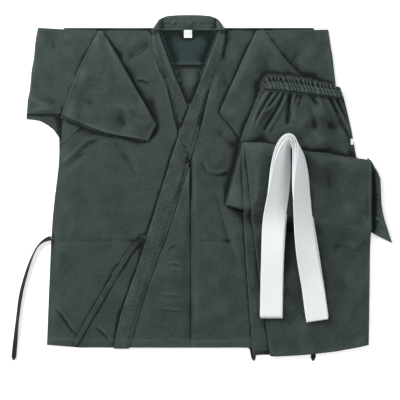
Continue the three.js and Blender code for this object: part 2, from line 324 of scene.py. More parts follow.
def dress_cloth(finish: Finish) -> bpy.types.Material:
    """Builds a cloth material: woven relief, uneven dye, paler edges and crests that are partly abrasion and
    partly painted highlight, and painted shade in creases and at steps.

    Args:
        finish: the finish to build.

    Returns:
        The new material.
    """
    material = bpy.data.materials.new(finish.name)
    material.use_nodes = True
    nodes = NodeTree(material.node_tree)
    shader = material.node_tree.nodes["Principled BSDF"]
    shader.inputs["Sheen Weight"].default_value = finish.sheen
    shader.inputs["Specular IOR Level"].default_value = 0.25
    cloth_map = nodes.add("ShaderNodeUVMap", "along the cloth", uv_map="Cloth")
    # Paleness that is partly abrasion and partly painted highlight, on edges, hems, folded sides and raised
    # crests.
    wear_and_highlight = nodes.add("ShaderNodeAttribute", "abrasion and painted highlight", attribute_name="Rubbed")
    # Painted shade amount for each point: creases, the foot of steps and the ground beside high stacks.
    hollows = nodes.add("ShaderNodeAttribute", "creases and steps", attribute_name="Hollow")
    weave = nodes.add("ShaderNodeGroup", "yarns", node_tree=weave_group())
    dye_wear_and_highlight = nodes.add("ShaderNodeGroup", "dye, abrasion and painted highlight", node_tree=wear_group())
    for group in (weave, dye_wear_and_highlight):
        nodes.join(cloth_map.outputs["UV"], group.inputs["Place"])
    weave.inputs["Along"].default_value, weave.inputs["Across"].default_value = finish.weave.value
    nodes.join(wear_and_highlight.outputs["Fac"], dye_wear_and_highlight.inputs["Rubbed"])
    tone = nodes.add("ShaderNodeMix", "dye", data_type="RGBA")
    tone.inputs["A"].default_value = (*finish.deep, 1.0)
    tone.inputs["B"].default_value = (*finish.pale, 1.0)
    nodes.join(dye_wear_and_highlight.outputs["Paleness"], tone.inputs["Factor"])
    hollow = nodes.add("ShaderNodeMix", "darker between the yarns", data_type="RGBA", blend_type="MULTIPLY")
    hollow.inputs["Factor"].default_value = 0.05 if finish.slot in (Slot.COTTON, Slot.SATIN) else 0.35
    nodes.join(tone.outputs["Result"], hollow.inputs["A"])
    shade = nodes.add("ShaderNodeCombineColor")
    for channel in shade.inputs:
        nodes.join(weave.outputs["Shade"], channel)
    nodes.join(shade.outputs[0], hollow.inputs["B"])
    # Painted shade: the dyed colour is mixed towards a dark tone, grey on the belt cotton, by the
    # painted-shade amount.
    crease = nodes.add("ShaderNodeMix", "painted shade in creases and at steps", data_type="RGBA")
    painted_shade_colour = (0.30, 0.32, 0.34) if finish.slot is Slot.COTTON else [0.3 * value for value in finish.deep]
    crease.inputs["B"].default_value = (*painted_shade_colour, 1.0)
    nodes.join(hollows.outputs["Fac"], crease.inputs["Factor"])
    nodes.join(hollow.outputs["Result"], crease.inputs["A"])
    nodes.join(crease.outputs["Result"], shader.inputs["Base Color"])
    polish = nodes.maths("MULTIPLY", dye_wear_and_highlight.outputs["Paleness"], 0.08)
    rough = nodes.maths("SUBTRACT", finish.roughness + 0.04, polish)
    nodes.join(rough, shader.inputs["Roughness"])
    bump = nodes.add("ShaderNodeBump", "yarn relief")
    bump.inputs["Distance"].default_value = finish.depth
    bump.inputs["Strength"].default_value = 0.7
    nodes.join(weave.outputs["Height"], bump.inputs["Height"])
    nodes.join(bump.outputs["Normal"], shader.inputs["Normal"])
    return material


# ---- shapes seen from above ----------------------------------------------------------------------
def smooth_step(value: Grid) -> Grid:
    """Eases a share from 0 to 1, flat at both ends."""
    held = np.clip(value, 0.0, 1.0)
    return held * held * (3.0 - 2.0 * held)


def along_line(points: Grid) -> Grid:
    """The distance along a line of points, starting at 0."""
    return np.concatenate([[0.0], np.cumsum(np.linalg.norm(np.diff(points, axis=0), axis=1))])


def resample(points: Grid, count: int) -> Grid:
    """Evenly spaced points along a line.

    Args:
        points: the line's points.
        count: how many points to return.

    Returns:
        The new points, with the line's ends kept.
    """
    run = along_line(points)
    wanted = np.linspace(0.0, run[-1], count)
    return np.stack([np.interp(wanted, run, points[:, axis]) for axis in range(points.shape[1])], axis=1)


def soften_line(points: Grid, passes: int) -> Grid:
    """Rounds a line's corners and keeps its ends.

    Args:
        points: evenly spaced points.
        passes: how many times each point moves towards its neighbours.

    Returns:
        The rounded line.
    """
    line = points.copy()
    for _ in range(passes):
        line[1:-1] = (line[:-2] + 2.0 * line[1:-1] + line[2:]) / 4.0
    return line


def outline_of(node: str) -> Grid:
    """The edge of a CAD piece's underside seen from above.

    Args:
        node: the CAD piece's name.

    Returns:
        Its corners in order, anticlockwise from above, in millimetres.
    """
    mesh = frame["nodes"][node].data
    places = [tuple(round(value / MM, 2) for value in vertex.co) for vertex in mesh.vertices]
    follow: dict[tuple, tuple] = {}
    edges = set()
    for face in mesh.polygons:
        if face.normal.z > -0.5:
            continue
        ring = [places[index] for index in face.vertices]
        edges.update(zip(ring, ring[1:] + ring[:1]))
    for first, second in edges:
        if (second, first) not in edges:
            follow[first] = second
    start = min(follow)
    ring, here = [start], follow[start]
    while here != start:
        ring.append(here)
        here = follow[here]
    return np.array([place[:2] for place in reversed(ring)])


class Patch:
    """A four-sided stretch of cloth seen from above.

    It runs from its start edge to its end edge, and between its left and its right edge.
    """

    SAMPLES = 200

    def __init__(self, start: Grid, end: Grid, left: Grid, right: Grid, passes: int = 5) -> None:
        """Makes a patch from its four edges.

        Args:
            start: points from left to right where the cloth starts.
            end: points from left to right where it ends.
            left: points from start to end.
            right: points from start to end.
            passes: how far the edges' small corners are rounded.
        """
        self.start, self.end, self.left, self.right = (
            soften_line(resample(np.asarray(side, float), self.SAMPLES), passes)
            for side in (start, end, left, right))

    @classmethod
    def of_node(cls, node: str, corners: Points, drop: Points = (), passes: int = 5) -> "Patch":
        """The patch that a CAD piece covers.

        Args:
            node: the CAD piece.
            corners: where the start edge begins and ends and the end edge ends and begins, as
                shares of the piece's box across and up.
            drop: places of outline corners to leave out, as shares of the box.
            passes: how far the edges' small corners are rounded.

        Returns:
            The patch.
        """
        ring = outline_of(node)
        low, size = ring.min(axis=0), np.ptp(ring, axis=0)

        def nearest(share: tuple[float, float]) -> int:
            """The outline corner nearest to a place in the box."""
            return int(np.argmin(np.linalg.norm((ring - low) / size - np.array(share), axis=1)))

        if drop:
            ring = np.delete(ring, [nearest(share) for share in drop], axis=0)
        picks = [nearest(share) for share in corners]
        count = len(ring)
        if (picks[2] - picks[0]) % count < (picks[1] - picks[0]) % count:
            ring = ring[::-1]
            picks = [count - 1 - pick for pick in picks]
        sides = []
        for first, second in zip(picks, picks[1:] + picks[:1]):
            steps = (second - first) % count
            sides.append(ring[[(first + step) % count for step in range(steps + 1)]])
        return cls(sides[0], sides[2][::-1], sides[3][::-1], sides[1], passes)

    def place(self, us: Grid, vs: Grid) -> Grid:
        """Points of the cloth.

        Args:
            us: shares of the way from left to right.
            vs: shares of the way from start to end.

        Returns:
            An array of points, one row for each of vs.
        """
        t = np.linspace(0.0, 1.0, self.SAMPLES)

        def on(side: Grid, shares: Grid) -> Grid:
            """Points at shares of one edge."""
            return np.stack([np.interp(shares, t, side[:, axis]) for axis in range(2)], axis=-1)

        start, end = on(self.start, us)[None], on(self.end, us)[None]
        left, right = on(self.left, vs)[:, None], on(self.right, vs)[:, None]
        u, v = us[None, :, None], vs[:, None, None]
        corners = ((1 - u) * (1 - v) * self.start[0] + u * (1 - v) * self.start[-1]
                   + (1 - u) * v * self.end[0] + u * v * self.end[-1])
        return (1 - v) * start + v * end + (1 - u) * left + u * right - corners

    def grown(self, start: float = 0.0, end: float = 0.0, left: float = 0.0) -> "Patch":
        """Moves the patch's edges outwards, so that they reach under or over a neighbour.

        Args:
            start: how far the start edge moves.
            end: how far the end edge moves.
            left: how far the left edge moves.

        Returns:
            The same patch, grown.
        """
        fade = smooth_step(1.0 - np.linspace(0.0, 1.0, self.SAMPLES) / 0.25)[:, None]
        along = (self.start.mean(axis=0) - self.end.mean(axis=0)) / self.length()
        across = (self.left.mean(axis=0) - self.right.mean(axis=0)) / self.width()
        for side, amount, way, neighbours in (
                (self.start, start, along, ((self.left, 1), (self.right, 1))),
                (self.end, end, -along, ((self.left, -1), (self.right, -1))),
                (self.left, left, across, ((self.start, 1), (self.end, 1)))):
            side += way * amount
            for other, order in neighbours:
                other += way * amount * fade[::order]
        return self

    def flared(self, amount: float) -> "Patch":
        """Widens the patch at its start and leaves its end alone.

        Args:
            amount: how far each end of the start edge moves.

        Returns:
            The same patch, widened.
        """
        way = (self.start[-1] - self.start[0]) / np.linalg.norm(self.start[-1] - self.start[0])
        share = np.linspace(1.0, 0.0, self.SAMPLES)[:, None]
        self.start += way * (1.0 - 2.0 * share) * amount
        self.left -= way * share * amount
        self.right += way * share * amount
        return self

    def width(self) -> float:
        """The mean length of the start and end edges."""
        return float((along_line(self.start)[-1] + along_line(self.end)[-1]) / 2)

    def length(self) -> float:
        """The mean length of the left and right edges."""
        return float((along_line(self.left)[-1] + along_line(self.right)[-1]) / 2)

    def area(self) -> float:
        """The patch's area, from its outline."""
        ring = np.concatenate([self.start, self.right, self.end[::-1], self.left[::-1]])
        ahead = np.roll(ring, -1, axis=0)
        return abs(float((ring[:, 0] * ahead[:, 1] - ahead[:, 0] * ring[:, 1]).sum() / 2))

    def line(self, u: tuple[float, float], v: tuple[float, float], count: int = 120) -> Grid:
        """Points on a straight run in the patch's own shares.

        Args:
            u: the share across at the run's start and at its end.
            v: the share along at the run's start and at its end.
            count: how many points.

        Returns:
            The points.
        """
        us, vs = np.linspace(*u, count), np.linspace(*v, count)
        return np.array([self.place(us[i:i + 1], vs[i:i + 1])[0, 0] for i in range(count)])


def shares(length: float, pitch: float, edge: float = 0.0) -> Grid:
    """Shares of a length for a mesh's rows, closer together near both ends.

    Args:
        length: the length.
        pitch: the usual distance between rows.
        edge: how far from each end the rows are closer.

    Returns:
        The shares, from 0 to 1.
    """
    near = edge * np.array([0.0, 0.12, 0.4, 0.8, 1.4]) if edge else np.array([0.0])
    inner = length - 2 * near[-1]
    count = max(2, int(round(inner / pitch)) + 1)
    middle = np.linspace(near[-1], length - near[-1], count)
    return np.concatenate([near[:-1], middle, (length - near[:-1])[::-1]]) / length


def rounded(distance: Grid, radius: float) -> Grid:
    """The share of its full thickness that an edge has at a distance from its rim."""
    held = np.clip(distance / radius, 0.0, 1.0)
    return np.sqrt(np.maximum(0.0, 1.0 - (1.0 - held) ** 2))


# ---- relief --------------------------------------------------------------------------------------
@dataclass(frozen=True)
class Fold:
    """A ridge or a hollow along a route.

    Attributes:
        route: the places it passes, in millimetres.
        height: how far it stands up, or down where it is negative.
        width: how far it reaches on its left-hand side.
        far_width: how far it reaches on its right-hand side, or 0 for the same.
        taper: the share of its length over which each end fades.
        lean: 0 for a plain ridge, and 1 for a crease with its ridge on the left and its hollow on the right.
    """

    SAMPLES = 14

    route: Points
    height: float
    width: float
    far_width: float = 0.0
    taper: float = 0.3
    lean: float = 0.0

    def relief(self, x: Grid, y: Grid) -> Grid:
        """The height that the fold adds at each place.

        Args:
            x: places across.
            y: places up.

        Returns:
            The added height.
        """
        line = soften_line(resample(np.array(self.route, float), self.SAMPLES), 2)
        run = along_line(line)
        nearest = np.full(x.shape, np.inf)
        share = np.zeros(x.shape)
        side = np.zeros(x.shape)
        for index in range(len(line) - 1):
            (x0, y0), (x1, y1) = line[index], line[index + 1]
            dx, dy = x1 - x0, y1 - y0
            size = math.hypot(dx, dy)
            t = np.clip(((x - x0) * dx + (y - y0) * dy) / size**2, 0.0, 1.0)
            gap = np.hypot(x - x0 - t * dx, y - y0 - t * dy)
            closer = gap < nearest
            nearest = np.where(closer, gap, nearest)
            share = np.where(closer, (run[index] + t * size) / run[-1], share)
            side = np.where(closer, dx * (y - y0) - dy * (x - x0), side)
        width = np.where(side > 0, self.width, self.far_width or self.width)
        fade = smooth_step(share / self.taper) * smooth_step((1.0 - share) / self.taper)
        ridge = np.exp(-(nearest / width) ** 2)
        pair = np.sign(side) * 1.8 * nearest / width * ridge
        return self.height * ((1 - self.lean) * ridge + self.lean * pair) * fade


def ripples(x: Grid, y: Grid, scale: float, seed: int, count: int = 20) -> Grid:
    """Gentle waves in every direction.

    Args:
        x: places across.
        y: places up.
        scale: the usual distance between crests.
        seed: what makes one set of waves differ from another.
        count: how many waves are added up.

    Returns:
        Heights with a spread of about 1.
    """
    draw = np.random.default_rng(seed)
    total = np.zeros(x.shape)
    for _ in range(count):
        angle, phase = draw.uniform(0.0, 2 * math.pi, 2)
        length = scale * draw.uniform(0.7, 1.7)
        total += np.sin((x * math.cos(angle) + y * math.sin(angle)) * 2 * math.pi / length + phase)
    return total / math.sqrt(count / 2)


class Heap:
    """The height of everything laid down so far, on a level grid over the floor."""

    STEP = 1.5
    MARGIN = 30.0
    SMEAR = 1.7
    LEAST_COVER = 0.09

    def __init__(self, low: Grid, high: Grid) -> None:
        """Starts with the bare floor.

        Args:
            low: the lowest corner that cloth may reach, across and up.
            high: the highest corner.
        """
        self.corner = np.asarray(low[:2]) - self.MARGIN
        cells = ((np.asarray(high[:2]) + self.MARGIN - self.corner) / self.STEP).astype(int) + 2
        self.top = np.zeros((cells[1], cells[0]))

    def at(self, grid: Grid, x: Grid, y: Grid) -> Grid:
        """Reads a grid between its points."""
        column = np.clip((x - self.corner[0]) / self.STEP, 0, grid.shape[1] - 1.001)
        row = np.clip((y - self.corner[1]) / self.STEP, 0, grid.shape[0] - 1.001)
        i, j = row.astype(int), column.astype(int)
        a, b = row - i, column - j
        return ((1 - a) * ((1 - b) * grid[i, j] + b * grid[i, j + 1])
                + a * ((1 - b) * grid[i + 1, j] + b * grid[i + 1, j + 1]))

    def blurred(self, grid: Grid, spread: float) -> Grid:
        """A grid blurred by a bell curve.

        Args:
            grid: what to blur.
            spread: the bell curve's spread in millimetres.

        Returns:
            The blurred grid.
        """
        rows = np.fft.fftfreq(grid.shape[0])[:, None]
        columns = np.fft.rfftfreq(grid.shape[1])[None]
        sigma = spread / self.STEP
        bell = np.exp(-2 * (math.pi * sigma) ** 2 * (rows**2 + columns**2))
        return np.fft.irfft2(np.fft.rfft2(grid) * bell, s=grid.shape)

    def support(self, reach: float, spread: float) -> Grid:
        """The surface that stiff cloth lies on: the heap widened, then smoothed.

        Args:
            reach: how far past an edge the cloth stays up.
            spread: how gently it comes down.

        Returns:
            A grid of heights.
        """
        cells = int(round(reach / self.STEP))
        widened = self.top.copy()
        for i in range(-cells, cells + 1):
            for j in range(-cells, cells + 1):
                if i * i + j * j <= cells * cells:
                    widened = np.maximum(widened, np.roll(self.top, (i, j), axis=(0, 1)))
        return self.blurred(widened, spread)

    def lay(self, points: Grid) -> None:
        """Adds the upper surface of a new piece.

        Args:
            points: the surface's points.
        """
        flat = points.reshape(-1, 3)
        column = (flat[:, 0] - self.corner[0]) / self.STEP
        row = (flat[:, 1] - self.corner[1]) / self.STEP
        i, j = row.astype(int), column.astype(int)
        weight, height = np.zeros(self.top.shape), np.zeros(self.top.shape)
        for di in (0, 1):
            for dj in (0, 1):
                part = np.abs(1 - di - (row - i)) * np.abs(1 - dj - (column - j))
                np.add.at(weight, (i + di, j + dj), part)
                np.add.at(height, (i + di, j + dj), part * flat[:, 2])
        soft_weight, soft_height = self.blurred(weight, self.SMEAR), self.blurred(height, self.SMEAR)
        covered = soft_weight > self.LEAST_COVER
        level = np.where(covered, soft_height / np.maximum(soft_weight, 1e-6), 0.0)
        self.top = np.maximum(self.top, level)


# ---- meshes --------------------------------------------------------------------------------------
def new_piece(name: str, points: Grid, faces: Grid, cloth: Grid, wear_and_highlight: Grid) -> bpy.types.Object:
    """Makes an object from points in millimetres.

    Args:
        name: the piece's name.
        points: its points.
        faces: its faces, as rows of point numbers.
        cloth: each point's place on the flat cloth.
        wear_and_highlight: how pale each point is from abrasion and painted highlight, from 0 to 1.

    Returns:
        The new object, at the origin.
    """
    mesh = bpy.data.meshes.new(name)
    mesh.from_pydata((points * MM).tolist(), [], faces.tolist())
    mesh.polygons.foreach_set("use_smooth", np.ones(len(mesh.polygons), bool))
    corners = np.zeros(len(mesh.loops), int)
    mesh.loops.foreach_get("vertex_index", corners)
    mesh.uv_layers.new(name="Cloth").data.foreach_set("uv", (cloth[corners] * MM).ravel())
    # Paleness from abrasion and painted highlight, and an empty attribute for the painted shade filled in
    # later.
    mesh.attributes.new("Rubbed", "FLOAT", "POINT").data.foreach_set("value", wear_and_highlight.astype(np.float32))
    mesh.attributes.new("Hollow", "FLOAT", "POINT")
    mesh.update()
    piece = bpy.data.objects.new(name, mesh)
    bpy.context.scene.collection.objects.link(piece)
    return piece


def quads(index: Grid, flip: bool) -> Grid:
    """Four-sided faces between the neighbours of a grid of point numbers.

    Args:
        index: the grid of point numbers.
        flip: whether the faces look the other way.

    Returns:
        The faces.
    """
    faces = np.stack([index[:-1, :-1], index[:-1, 1:], index[1:, 1:], index[1:, :-1]], axis=-1).reshape(-1, 4)
    return faces[:, ::-1] if flip else faces


def shell(name: str, top: Grid, bottom: Grid, cloth: Grid, wear_and_highlight: Grid, flip: bool) -> bpy.types.Object:
    """A closed piece between two surfaces that share their rim.

    Args:
        name: the piece's name.
        top: the upper surface's points.
        bottom: the lower surface's points.
        cloth: each point's place on the flat cloth.
        wear_and_highlight: how pale each place is from abrasion and painted highlight.
        flip: whether the grid runs clockwise seen from the top's side.

    Returns:
        The new object.
    """
    rows, columns = top.shape[:2]
    upper = np.arange(rows * columns).reshape(rows, columns)
    lower = upper.copy()
    inner = (rows - 2) * (columns - 2)
    lower[1:-1, 1:-1] = rows * columns + np.arange(inner).reshape(rows - 2, columns - 2)
    rim = np.ones((rows, columns), bool)
    rim[1:-1, 1:-1] = False
    joined = np.where(rim[..., None], (top + bottom) / 2, top)
    points = np.concatenate([joined.reshape(-1, 3), bottom[1:-1, 1:-1].reshape(-1, 3)])
    flat = np.concatenate([cloth.reshape(-1, 2), cloth[1:-1, 1:-1].reshape(-1, 2)])
    worn = np.concatenate([wear_and_highlight.ravel(), wear_and_highlight[1:-1, 1:-1].ravel()])
    faces = np.concatenate([quads(upper, flip), quads(lower, not flip)])
    return new_piece(name, points, faces, flat, worn)


def turned_clockwise(xy: Grid) -> bool:
    """Whether a grid's rows and columns turn clockwise seen from above."""
    across, along = xy[:-1, 1:] - xy[:-1, :-1], xy[1:, :-1] - xy[:-1, :-1]
    return float((across[..., 0] * along[..., 1] - across[..., 1] * along[..., 0]).sum()) < 0.0


# ---- sewing --------------------------------------------------------------------------------------
class SewingMachine:
    """Lays rows of stitches with one Geometry Nodes tree."""

    def __init__(self) -> None:
        """Builds the tree."""
        self.tree = bpy.data.node_groups.new("stitch_rows", "GeometryNodeTree")
        self.sockets = {}
        for title, kind in (("Rows", "NodeSocketGeometry"), ("Pitch", "NodeSocketFloat"),
                            ("Stitch size", "NodeSocketVector"), ("Thread", "NodeSocketMaterial")):
            socket = self.tree.interface.new_socket(name=title, in_out="INPUT", socket_type=kind)
            self.sockets[title] = socket.identifier
        self.tree.interface.new_socket(name="Stitches", in_out="OUTPUT", socket_type="NodeSocketGeometry")
        nodes = NodeTree(self.tree)
        inputs, outputs = nodes.add("NodeGroupInput"), nodes.add("NodeGroupOutput")
        curve = nodes.add("GeometryNodeMeshToCurve")
        spaced = nodes.add("GeometryNodeResampleCurve", mode="LENGTH")
        bead = nodes.add("GeometryNodeMeshUVSphere", "one stitch")
        bead.inputs["Segments"].default_value = 5
        bead.inputs["Rings"].default_value = 3
        bead.inputs["Radius"].default_value = 0.5
        sized = nodes.add("GeometryNodeTransform")
        tangent = nodes.add("GeometryNodeInputTangent")
        turned = nodes.add("FunctionNodeAlignRotationToVector", axis="X")
        placed = nodes.add("GeometryNodeInstanceOnPoints")
        real = nodes.add("GeometryNodeRealizeInstances")
        dyed = nodes.add("GeometryNodeSetMaterial")
        smooth = nodes.add("GeometryNodeSetShadeSmooth")
        for source, target in (
                (inputs.outputs["Rows"], curve.inputs["Mesh"]),
                (curve.outputs["Curve"], spaced.inputs["Curve"]),
                (inputs.outputs["Pitch"], spaced.inputs["Length"]),
                (bead.outputs["Mesh"], sized.inputs["Geometry"]),
                (inputs.outputs["Stitch size"], sized.inputs["Scale"]),
                (tangent.outputs["Tangent"], turned.inputs["Vector"]),
                (spaced.outputs["Curve"], placed.inputs["Points"]),
                (sized.outputs["Geometry"], placed.inputs["Instance"]),
                (turned.outputs["Rotation"], placed.inputs["Rotation"]),
                (placed.outputs["Instances"], real.inputs["Geometry"]),
                (real.outputs["Geometry"], smooth.inputs["Geometry"]),
                (smooth.outputs["Geometry"], dyed.inputs["Geometry"]),
                (inputs.outputs["Thread"], dyed.inputs["Material"]),
                (dyed.outputs["Geometry"], outputs.inputs["Stitches"])):
            nodes.join(source, target)

    def sew(self, name: str, rows: list[Grid], thread: Finish, pitch: float = 3.2,
            size: tuple[float, float, float] = (2.5, 0.55, 0.4)) -> bpy.types.Object:
        """Makes one piece of all the stitches in some rows.

        Args:
            name: the piece's name.
            rows: lines of points in millimetres.
            thread: the thread's finish.
            pitch: the distance from stitch to stitch.
            size: a stitch's length, width and height.

        Returns:
            The stitches as a plain mesh object.
        """
        points = np.concatenate(rows) * MM
        edges, first = [], 0
        for row in rows:
            edges += [(first + i, first + i + 1) for i in range(len(row) - 1)]
            first += len(row)
        mesh = bpy.data.meshes.new(name + "_rows")
        mesh.from_pydata(points.tolist(), edges, [])
        guide = bpy.data.objects.new(name + "_rows", mesh)
        bpy.context.scene.collection.objects.link(guide)
        modifier = guide.modifiers.new("stitches", "NODES")
        modifier.node_group = self.tree
        modifier[self.sockets["Pitch"]] = pitch * MM
        modifier[self.sockets["Stitch size"]] = [value * MM for value in size]
        modifier[self.sockets["Thread"]] = thread.material()
        graph = bpy.context.evaluated_depsgraph_get()
        stitched = bpy.data.meshes.new_from_object(guide.evaluated_get(graph))
        stitched.name = name
        piece = bpy.data.objects.new(name, stitched)
        bpy.context.scene.collection.objects.link(piece)
        bpy.data.objects.remove(guide)
        return piece


# ---- the workroom --------------------------------------------------------------------------------
class Held(Enum):
    """How a sheet of cloth lies."""

    LAID = "laid"
    FOLDED = "folded"
    GATHERED = "gathered"


@dataclass(frozen=True)
class Drape:
    """How a piece of cloth lies on what is under it.

    Attributes:
        lift: the air under it at its rim.
        cushion: how much more air there is away from its rim.
        rim: how wide the rim is that lies close.
        reach: how far past an edge it stays up.
        spread: how gently it comes down.
        floor: the least height of its underside.
        folds: its ridges and hollows.
        waves: the height of its gentle waves.
        wave_size: the usual distance between their crests.
        seed: what makes its waves its own.
    """

    lift: float = 0.3
    cushion: float = 0.0
    rim: float = 15.0
    reach: float = 3.0
    spread: float = 3.0
    floor: float = 0.15
    folds: tuple[Fold, ...] = ()
    waves: float = 0.25
    wave_size: float = 60.0
    seed: int = 1

    def relief(self, x: Grid, y: Grid) -> Grid:
        """The height that the folds and waves add at each place."""
        total = RELIEF * self.waves * (ripples(x, y, self.wave_size, self.seed)
                                       + 0.12 * ripples(x, y, self.wave_size * 0.35, self.seed + 100))
        for fold in self.folds:
            total = total + RELIEF * fold.relief(x, y)
        return total


ENCLOSED = {"yoke_cloth": 3.4, "back_cloth": 2.8, "collar_band": 2.6, "waistband_front_cloth": 1.7,
            "crotch_gusset_cloth": 2.0, "front_tie": 1.8, "right_lapel_band": 1.8, "left_lapel_band": 1.8}
# How much deeper the painted shade is on a piece that lies between higher ones, against one that lies open.
"""How much less light reaches a piece that lies between higher ones, against one that lies open."""


@dataclass
class Workroom:
    """Holds the heap of laid cloth, and makes, dresses and reports each piece."""

    CLEAR = 0.12
    RECTANGLE = 1.05
    PRESSED = 0.65
    SHOWN_WITHIN = 2.2

    heap: Heap
    machine: SewingMachine
    seams: dict[str, list[Grid]] = field(default_factory=dict)
    marked: set[str] = field(default_factory=set)

    def rest(self, drape: Drape, x: Grid, y: Grid, ease: Grid | float = 1.0) -> Grid:
        """The height of a piece's underside.

        Args:
            drape: how it lies.
            x: places across.
            y: places up.
            ease: 0 at the piece's rim, and 1 where it is free to stand up.

        Returns:
            The height at each place.
        """
        level = self.heap.at(self.heap.support(drape.reach, drape.spread), x, y)
        air = drape.lift + drape.cushion * ease + drape.relief(x, y) * (0.2 + 0.8 * ease)
        return np.maximum(np.maximum(level + air, self.bed(x, y)), drape.floor)

    def bed(self, x: Grid, y: Grid) -> Grid:
        """The least height of anything laid now, just clear of what is under it."""
        return self.heap.at(self.heap.support(1.5, 0.8), x, y) + self.CLEAR

    def dress(self, piece: bpy.types.Object, finish: Finish, body: str, nodes: tuple[str, ...]) -> None:
        """Gives a finished piece its material and body, and hides the CAD pieces it stands for.

        Args:
            piece: the piece.
            finish: its finish.
            body: the body it moves with.
            nodes: the CAD pieces that it replaces.
        """
        piece.data.materials.clear()
        piece.data.materials.append(finish.material())
        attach(piece, body)
        self.label(piece, finish, nodes)

    def label(self, piece: bpy.types.Object, finish: Finish, nodes: tuple[str, ...]) -> None:
        """Hides the CAD pieces that a piece stands for, and reports its face count."""
        if nodes:
            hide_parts(*nodes)
        log.info("%s: %d faces", piece.name, len(piece.data.polygons))

    def stitch(self, body: str, line: Grid, lift: float = 0.12) -> None:
        """Marks a row of stitches on what has been laid last.

        Args:
            body: the body that the stitches move with.
            line: places across and up.
            lift: how far the thread stands above the cloth.
        """
        even = resample(line, max(3, int(along_line(line)[-1] / 2.5)))
        height = self.heap.at(self.heap.top, even[:, 0], even[:, 1]) + lift
        self.seams.setdefault(body, []).append(np.column_stack([even, height]))

    def lay_ply(self, name: str, patch: Patch, drape: Drape, thickness: float = 0.6, pitch: float = 2.5,
                hems: tuple[float, float, float, float] = (0, 0, 0, 0), edge: float = 0.5,
                sewn: tuple[float, float, float, float] = (0, 0, 0, 0),
                extra: Callable[[Grid, Grid, Grid], Grid] | None = None) -> bpy.types.Object:
        """Lays one flat piece on the heap.

        Args:
            name: the piece's name.
            patch: its shape from above.
            drape: how it lies.
            thickness: its thickness.
            pitch: the distance between the mesh's rows.
            hems: how wide it is turned in at its start, end, left and right edges.
            edge: how rounded its rim is.
            sewn: how wide it is pressed down along the same edges, where it is sewn to its neighbour.
            extra: more height for the top, from the places and the shares across and along.

        Returns:
            The new object.
        """
        width, length = patch.width(), patch.length()
        us, vs = shares(width, pitch, edge * 1.3), shares(length, pitch, edge * 1.3)
        xy = patch.place(us, vs)
        x, y = xy[..., 0], xy[..., 1]
        u, v = np.meshgrid(us, vs)
        rims = (v * length, (1 - v) * length, u * width, (1 - u) * width)
        nearest = np.minimum.reduce(rims)
        low = self.rest(drape, x, y, smooth_step(nearest / drape.rim))
        turned = np.zeros(x.shape)
        for rim, hem in zip(rims, hems):
            if hem:
                turned = np.maximum(turned, 0.55 * (1 - smooth_step((rim - hem) / 1.5)))
                turned = turned - 0.3 * np.exp(-((rim - hem + 1.8) / 1.0) ** 2)
        pressed = np.zeros(x.shape)
        for rim, width_sewn in zip(rims, sewn):
            if width_sewn:
                pressed = np.maximum(pressed, 1 - smooth_step(rim / width_sewn))
        low = low + (np.maximum(self.bed(x, y), drape.floor) - low) * pressed
        full = (thickness + turned) * rounded(nearest, edge) * (1 - self.PRESSED * pressed)
        middle = low + thickness / 2 * (1 - self.PRESSED * pressed)
        top = middle + turned / 2 + full / 2
        if extra is not None:
            top = top + extra(xy, u, v)
        bottom = middle - thickness / 2 * rounded(nearest, edge) * (1 - self.PRESSED * pressed)
        # Paler at the rim, on turned hems and along the hem's edge: partly abrasion, partly painted highlight
        # on the rounded edges.
        wear_and_highlight = 0.35 * np.exp(-nearest / 1.6) + 0.12 * (turned > 0.2)
        for hem, rim in zip(hems, rims):
            if hem:
                wear_and_highlight = wear_and_highlight + 0.15 * np.exp(-((rim - hem) / 1.5) ** 2)
        piece = shell(name, np.dstack([xy, top]), np.dstack([xy, bottom]), xy,
                      np.clip(wear_and_highlight, 0, 1), turned_clockwise(xy))
        self.heap.lay(np.dstack([xy, top]))
        return piece

    def mark_hollows(self, under_last: float = 0.3) -> None:
        """Paints shade into the creases, at the foot of every step and beside high stacks, and paints
        highlight on raised crests, on what lies uppermost.

        Args:
            under_last: the most painted shade that a piece gets from what was laid after it was first
                painted.
        """
        scales = {spread: self.heap.blurred(self.heap.top, spread) for spread in (2.0, 5.0, 13.0)}
        for piece in bpy.context.scene.objects:
            if piece.type != "MESH" or "Hollow" not in piece.data.attributes:
                continue
            places = np.zeros(len(piece.data.vertices) * 3)
            piece.data.vertices.foreach_get("co", places)
            x, y, z = places.reshape(-1, 3).T / MM
            near, far, broad = (self.heap.at(grid, x, y) - z for grid in scales.values())
            shown = np.abs(self.heap.at(self.heap.top, x, y) - z) < self.SHOWN_WITHIN
            closed = ENCLOSED.get(piece.name, 1.0)
            # Painted shade: the further a point lies below the blurred heap round it, the darker it is
            # painted, standing in for shade in creases and at the foot of steps.
            depth = closed * np.where(shown, 0.9 * near + 0.3 * far + 0.24 * broad, 0.0)
            # Painted shadow: a broad darkening beside high stacks, standing in for their soft cast shadow.
            under = np.where(shown, np.clip((closed * broad - 0.9) / 4.5, 0.0, 0.42), 0.0)
            hollow = np.clip(np.clip((depth - 0.5) / 1.25, 0.0, 0.95) + under, 0.0, 0.95)
            marked = np.zeros(len(piece.data.vertices), np.float32)
            piece.data.attributes["Hollow"].data.foreach_get("value", marked)
            if piece.name in self.marked:
                hollow = np.maximum(marked, np.minimum(hollow, under_last))
            piece.data.attributes["Hollow"].data.foreach_set("value", hollow.astype(np.float32))
            if piece.name in self.marked:
                continue
            self.marked.add(piece.name)
            # Painted highlight: points standing above the blurred heap round them are made paler, on top of
            # their abrasion paleness.
            crest = np.clip((-depth - 0.15) / 2.2, 0.0, 0.45)
            worn = np.zeros(len(piece.data.vertices), np.float32)
            piece.data.attributes["Rubbed"].data.foreach_get("value", worn)
            piece.data.attributes["Rubbed"].data.foreach_set("value", (worn + crest).astype(np.float32))

